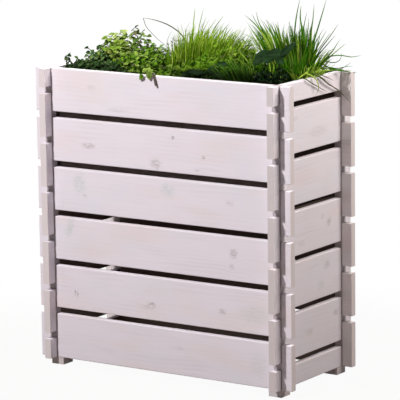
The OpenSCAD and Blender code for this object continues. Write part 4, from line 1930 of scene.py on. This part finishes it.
    def chives(self) -> list[Plant]:
        """The chives of the right half. The last ones also lie on the right rim or hang over.

        Returns:
            The plants.
        """
        front = Tuft(
            "chives_front", "chive_blade", self.front_green, 17, width=0.0040, droop=0.24,
            fans=rows(Fan, 8, (200, -90, 30, 94, 30, 30, -46, 0, 80),
                (232, -88, 18, 92, 22, 26, -24, 0, 40), (190, -30, 30, 108, 50, 42, -18, 0, 80),
                (152, -94, 22, 64, 30, 24, -22, 0, 45)))
        middle = Tuft(
            "chives_middle", "chive_blade", self.chive_green, 22, width=0.0042, droop=0.34,
            fans=rows(Fan, 8, (258, 50, 24, 190, 34, 34, -64, 0, 125, (0.2, 1.0)),
                (264, 56, 14, 165, 18, 20, -14, 0, 36), (228, 10, 28, 115, 50, 45, -30, 0, 70)),
            strokes=upright(
                (6.4, 0.2, 50, 262, -4, 255, 70, 196, 138, 165, 170, 137, 189),
                (6, 0.2, 55, 262, -4, 240, 85, 200, 136, 176, 175, 170, 199),
                (5, 0.4, 60, 258, -4, 236, 85, 190, 140, 165, 172, 152, 193),
                (5, 0.5, 45, 258, -4, 236, 80, 200, 128, 178, 152, 156, 168),
                (5.6, 0.2, 50, 272, -4, 252, 95, 216, 150, 195, 176),
                (5.4, 0.3, 60, 275, -4, 254, 100, 225, 148, 200, 178),
                (4.6, 0.4, 50, 268, -4, 262, 95, 246, 150, 240, 178),
                (4.4, 0.2, 55, 270, -4, 264, 100, 255, 150, 258, 170),
                (4.6, 0.6, 40, 255, -4, 236, 85, 206, 130, 174, 147)))
        right = Tuft(
            "chives_right", "chive_blade", self.chive_green, 25, width=0.0042, droop=0.26,
            fans=rows(Fan, 8, (300, 70, 29, 184, 24, 30, 0, 0, 200, (0.0, 0.82)),
                (304, 40, 22, 120, 22, 36, 0, 0, 64, (0.0, 0.66)),
                (322, 74, 14, 120, 34, 30, 52, 12, 40, (0.4, 1.0)),
                (334, 34, 20, 76, 34, 56, 20, 0, 90, (0.72, 1.0))),
            strokes=(upright((6, 0.2, 75, 298, -4, 278, 144, 284, 190, 295, 236),
                (7.8, 0.15, 80, 302, -4, 300, 150, 293, 190, 296, 220),
                (5, 0.4, 75, 305, -4, 304, 143, 310, 177, 317, 204),
                (5.2, 0.3, 70, 312, -4, 328, 133, 338, 180, 343, 227),
                (5.6, 0.2, 80, 312, -4, 334, 120, 356, 185, 375, 240),
                (5.6, 0.3, 75, 286, -4, 274, 118, 270, 150, 260, 174),
                (5.2, 0.1, 60, 304, -4, 322, 126, 330, 163, 332, 190),
                (4.4, 0.4, 80, 318, -4, 350, 98, 388, 146, 411, 177),
                (4.2, 0.3, 70, 314, -4, 339, 91, 362, 130, 381, 160),
                (3.8, 0.5, 60, 312, -4, 336, 98, 360, 138, 378, 165),
                (4.4, 0.3, 75, 316, -4, 344, 80, 374, 115, 405, 147),
                (4.2, 0.5, 85, 322, -4, 352, 60, 390, 103, 414, 137),
                (4.2, 0.8, 90, 322, -4, 350, 56, 392, 97, 428, 125),
                (3.8, 0.7, 65, 312, -4, 336, 78, 368, 120, 396, 155),
                (4, 0.9, 80, 322, -4, 356, 70, 384, 98, 404, 112))
            + wandering(
                (4.6, 0.15, 330, 85, -4, 350, 93, 70, 365, 102, 83, 382, 112, 88, 395, 127, 87,
                 412, 151, 81, 428, 171, 84),
                (4.2, 0.2, 328, 80, -4, 345, 96, 72, 362, 104, 71, 378, 114, 68, 390, 120, 73, 394,
                 124, 83, 396, 122, 95),
                (5.2, 0.15, 330, 70, -4, 350, 93, 68, 364, 104, 56, 380, 116, 50, 395, 127, 48,
                 412, 146, 45),
                (3.8, 0.4, 330, 85, -4, 352, 100, 52, 372, 125, 47, 388, 139, 50, 396, 144, 56,
                 406, 155, 65),
                (3.6, 0.3, 330, 80, -4, 352, 95, 56, 385, 123, 52, 398, 146, 55, 410, 160, 55),
                (5.2, 0.5, 325, 30, -4, 350, 57, 44, 362, 73, 46, 372, 92, 47, 384, 109, 49, 395,
                 127, 45, 405, 147, 41, 415, 169, 37),
                (5, 1.0, 325, 20, -4, 348, 45, 46, 360, 66, 50, 372, 85, 50, 386, 104, 50),
                (5.2, 0.95, 322, 60, -4, 340, 45, 60, 350, 26, 55, 360, -19, 49, 366, -54, 44),
                (4.6, 0.8, 318, 70, -4, 338, 64, 62, 350, 28, 57, 360, -22, 47),
                (3.4, 0.0, 330, -60, -4, 352, -54, 36, 368, -50, 46, 383, -40, 43, 385, -15, 30,
                 385, 11, 19, 385, 41, 6, 385, 74, -7),
                (4.6, 0.9, 330, 10, -4, 350, -10, 40, 368, -14, 54, 384, -6, 46, 390, 3, 36, 393,
                 7, 24, 391, 10, 8, 386, 4, -6),
                (5.2, 0.0, 330, 0, -4, 352, 6, 42, 369, 12, 50, 384, 27, 42, 386, 65, 19, 386, 103,
                 2, 387, 138, -18, 397, 141, -27, 408, 141, -37, 412, 141, -42),
                (3.6, 0.0, 330, 20, -4, 352, 24, 42, 369, 28, 50, 384, 38, 44, 386, 72, 32, 386,
                 98, 22))))
        return [front, middle, right]


@dataclass(frozen=True)
class Lamp:
    """A square soft lamp: its place, the way it faces, its side, its watts and its colour."""

    name: str
    place: Spot
    toward: Spot
    size: float
    power: float
    colour: Colour

    def build(self) -> None:
        """Adds the lamp."""
        deselect()
        bpy.ops.object.light_add(type="AREA", location=self.place)
        lamp = bpy.context.object
        lamp.name = self.name
        lamp.rotation_mode = "QUATERNION"
        lamp.rotation_quaternion = Vector(self.toward).to_track_quat("-Z", "Y")
        lamp.data.size = self.size
        lamp.data.energy = self.power
        lamp.data.color = self.colour


@dataclass
class Studio:
    """The white floor, the lamps and the camera."""

    lamps: tuple[Lamp, ...] = (
        Lamp("key", (-0.62, -2.13, 2.74), (0.25, 0.07, -0.967), 0.19, 125.0, (1.0, 0.985, 0.99)),
        Lamp("fill", (2.8, -4.2, 1.6), (-2.8, 4.2, -1.1), 1.2, 4.0, (1.0, 0.98, 0.97)),
        Lamp("side", (1.45, 0.36, 1.84), (-0.87, -0.25, -0.93), 0.8, 30.5, (1.0, 0.955, 0.90)),
        Lamp("back", (-2.0, 2.6, 2.2), (2.0, -2.6, -1.7), 1.0, 90.0, (1.0, 1.0, 1.0)))
    yaw: float = 33.76
    pitch: float = 10.60
    roll: float = -0.76
    lens: float = 249.75
    sensor: float = 36.0
    eye: Spot = (4.1716, -6.2165, 1.8731)
    sight: float = 60.0
    floor_size: float = 14.0
    floor_level: float = -0.0005
    floor_colour: Colour = (0.23, 0.20, 0.18)
    floor_glow: float = 0.95
    fade: tuple[float, float] = (0.55, 1.3)
    sky: Colour = (1.0, 0.985, 1.0)
    sky_strength: float = 0.05

    def build(self) -> None:
        """Sets up the stage."""
        self._floor()
        self._sky()
        for lamp in self.lamps:
            lamp.build()
        self._camera()
        bpy.context.scene.view_settings.view_transform = "Standard"

    def _floor(self) -> None:
        """A white floor that keeps a faint shadow."""
        floor = basic(bpy.ops.mesh.primitive_plane_add, size=self.floor_size,
                      location=(0.0, 0.0, self.floor_level))
        floor.name = "studio_floor"
        brush = Painter("studio_floor")
        matt = brush.node("ShaderNodeBsdfDiffuse", inputs={"Color": rgba(self.floor_colour)})
        glow = brush.node("ShaderNodeEmission", inputs={"Color": WHITE, "Strength": 1.0})
        x, y, _ = brush.coordinates()
        far = (x * x + y * y).root().rise(*self.fade)
        seen = self._seen(brush) * (far * (1.0 - self.floor_glow) + self.floor_glow)
        brush.output(brush.node("ShaderNodeMixShader", inputs={0: seen, 1: matt, 2: glow}))
        floor.data.materials.append(brush.material)

    @staticmethod
    def _seen(brush: Painter) -> Sock:
        """1 for a ray that shows the backdrop: from the camera, mirrored or through glass.

        Args:
            brush: What the nodes are added to.

        Returns:
            The mask.
        """
        rays = ("Is Camera Ray", "Is Glossy Ray", "Is Transmission Ray")
        camera, glossy, through = (brush.node("ShaderNodeLightPath", out=ray) for ray in rays)
        return camera.highest(glossy).highest(through)

    def _sky(self) -> None:
        """Soft light from all sides, white to the camera and in reflections."""
        world = bpy.data.worlds.new("studio_sky")
        bpy.context.scene.world = world
        brush = Painter(world.name, world)
        soft, white = (
            brush.node("ShaderNodeBackground", inputs={"Color": colour, "Strength": strength})
            for colour, strength in ((rgba(self.sky), self.sky_strength), (WHITE, 1.0)))
        mixed = brush.node("ShaderNodeMixShader", inputs={0: self._seen(brush), 1: soft, 2: white})
        brush.output(mixed, "ShaderNodeOutputWorld")

    def _camera(self) -> None:
        """The camera at the photograph's viewing angle."""
        turn, tilt, roll = (math.radians(angle) for angle in (self.yaw, self.pitch, self.roll))
        flat = math.cos(tilt)
        back = Vector((math.sin(turn) * flat, -math.cos(turn) * flat, math.sin(tilt)))
        right = Vector((math.cos(turn), math.sin(turn), 0.0))
        up = back.cross(right)
        axes = Matrix((right * math.cos(roll) + up * math.sin(roll),
                       up * math.cos(roll) - right * math.sin(roll), back)).transposed()
        deselect()
        bpy.ops.object.camera_add(location=self.eye)
        camera = bpy.context.object
        camera.matrix_world = Matrix.Translation(self.eye) @ axes.to_4x4()
        camera.data.lens = self.lens
        camera.data.sensor_width = self.sensor
        camera.data.clip_end = self.sight
        bpy.context.scene.camera = camera


def main() -> None:
    """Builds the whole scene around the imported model."""
    logging.basicConfig(level=logging.INFO, format="%(message)s")
    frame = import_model()
    Studio().build()
    bed = Bed(frame["nodes"])
    Timber(bed).dress_all()
    Liner().build()
    Fasteners(bed).build()
    SoilBody().build()
    Garden(bed).plant()
    deselect()


if __name__ == "__main__":
    main()
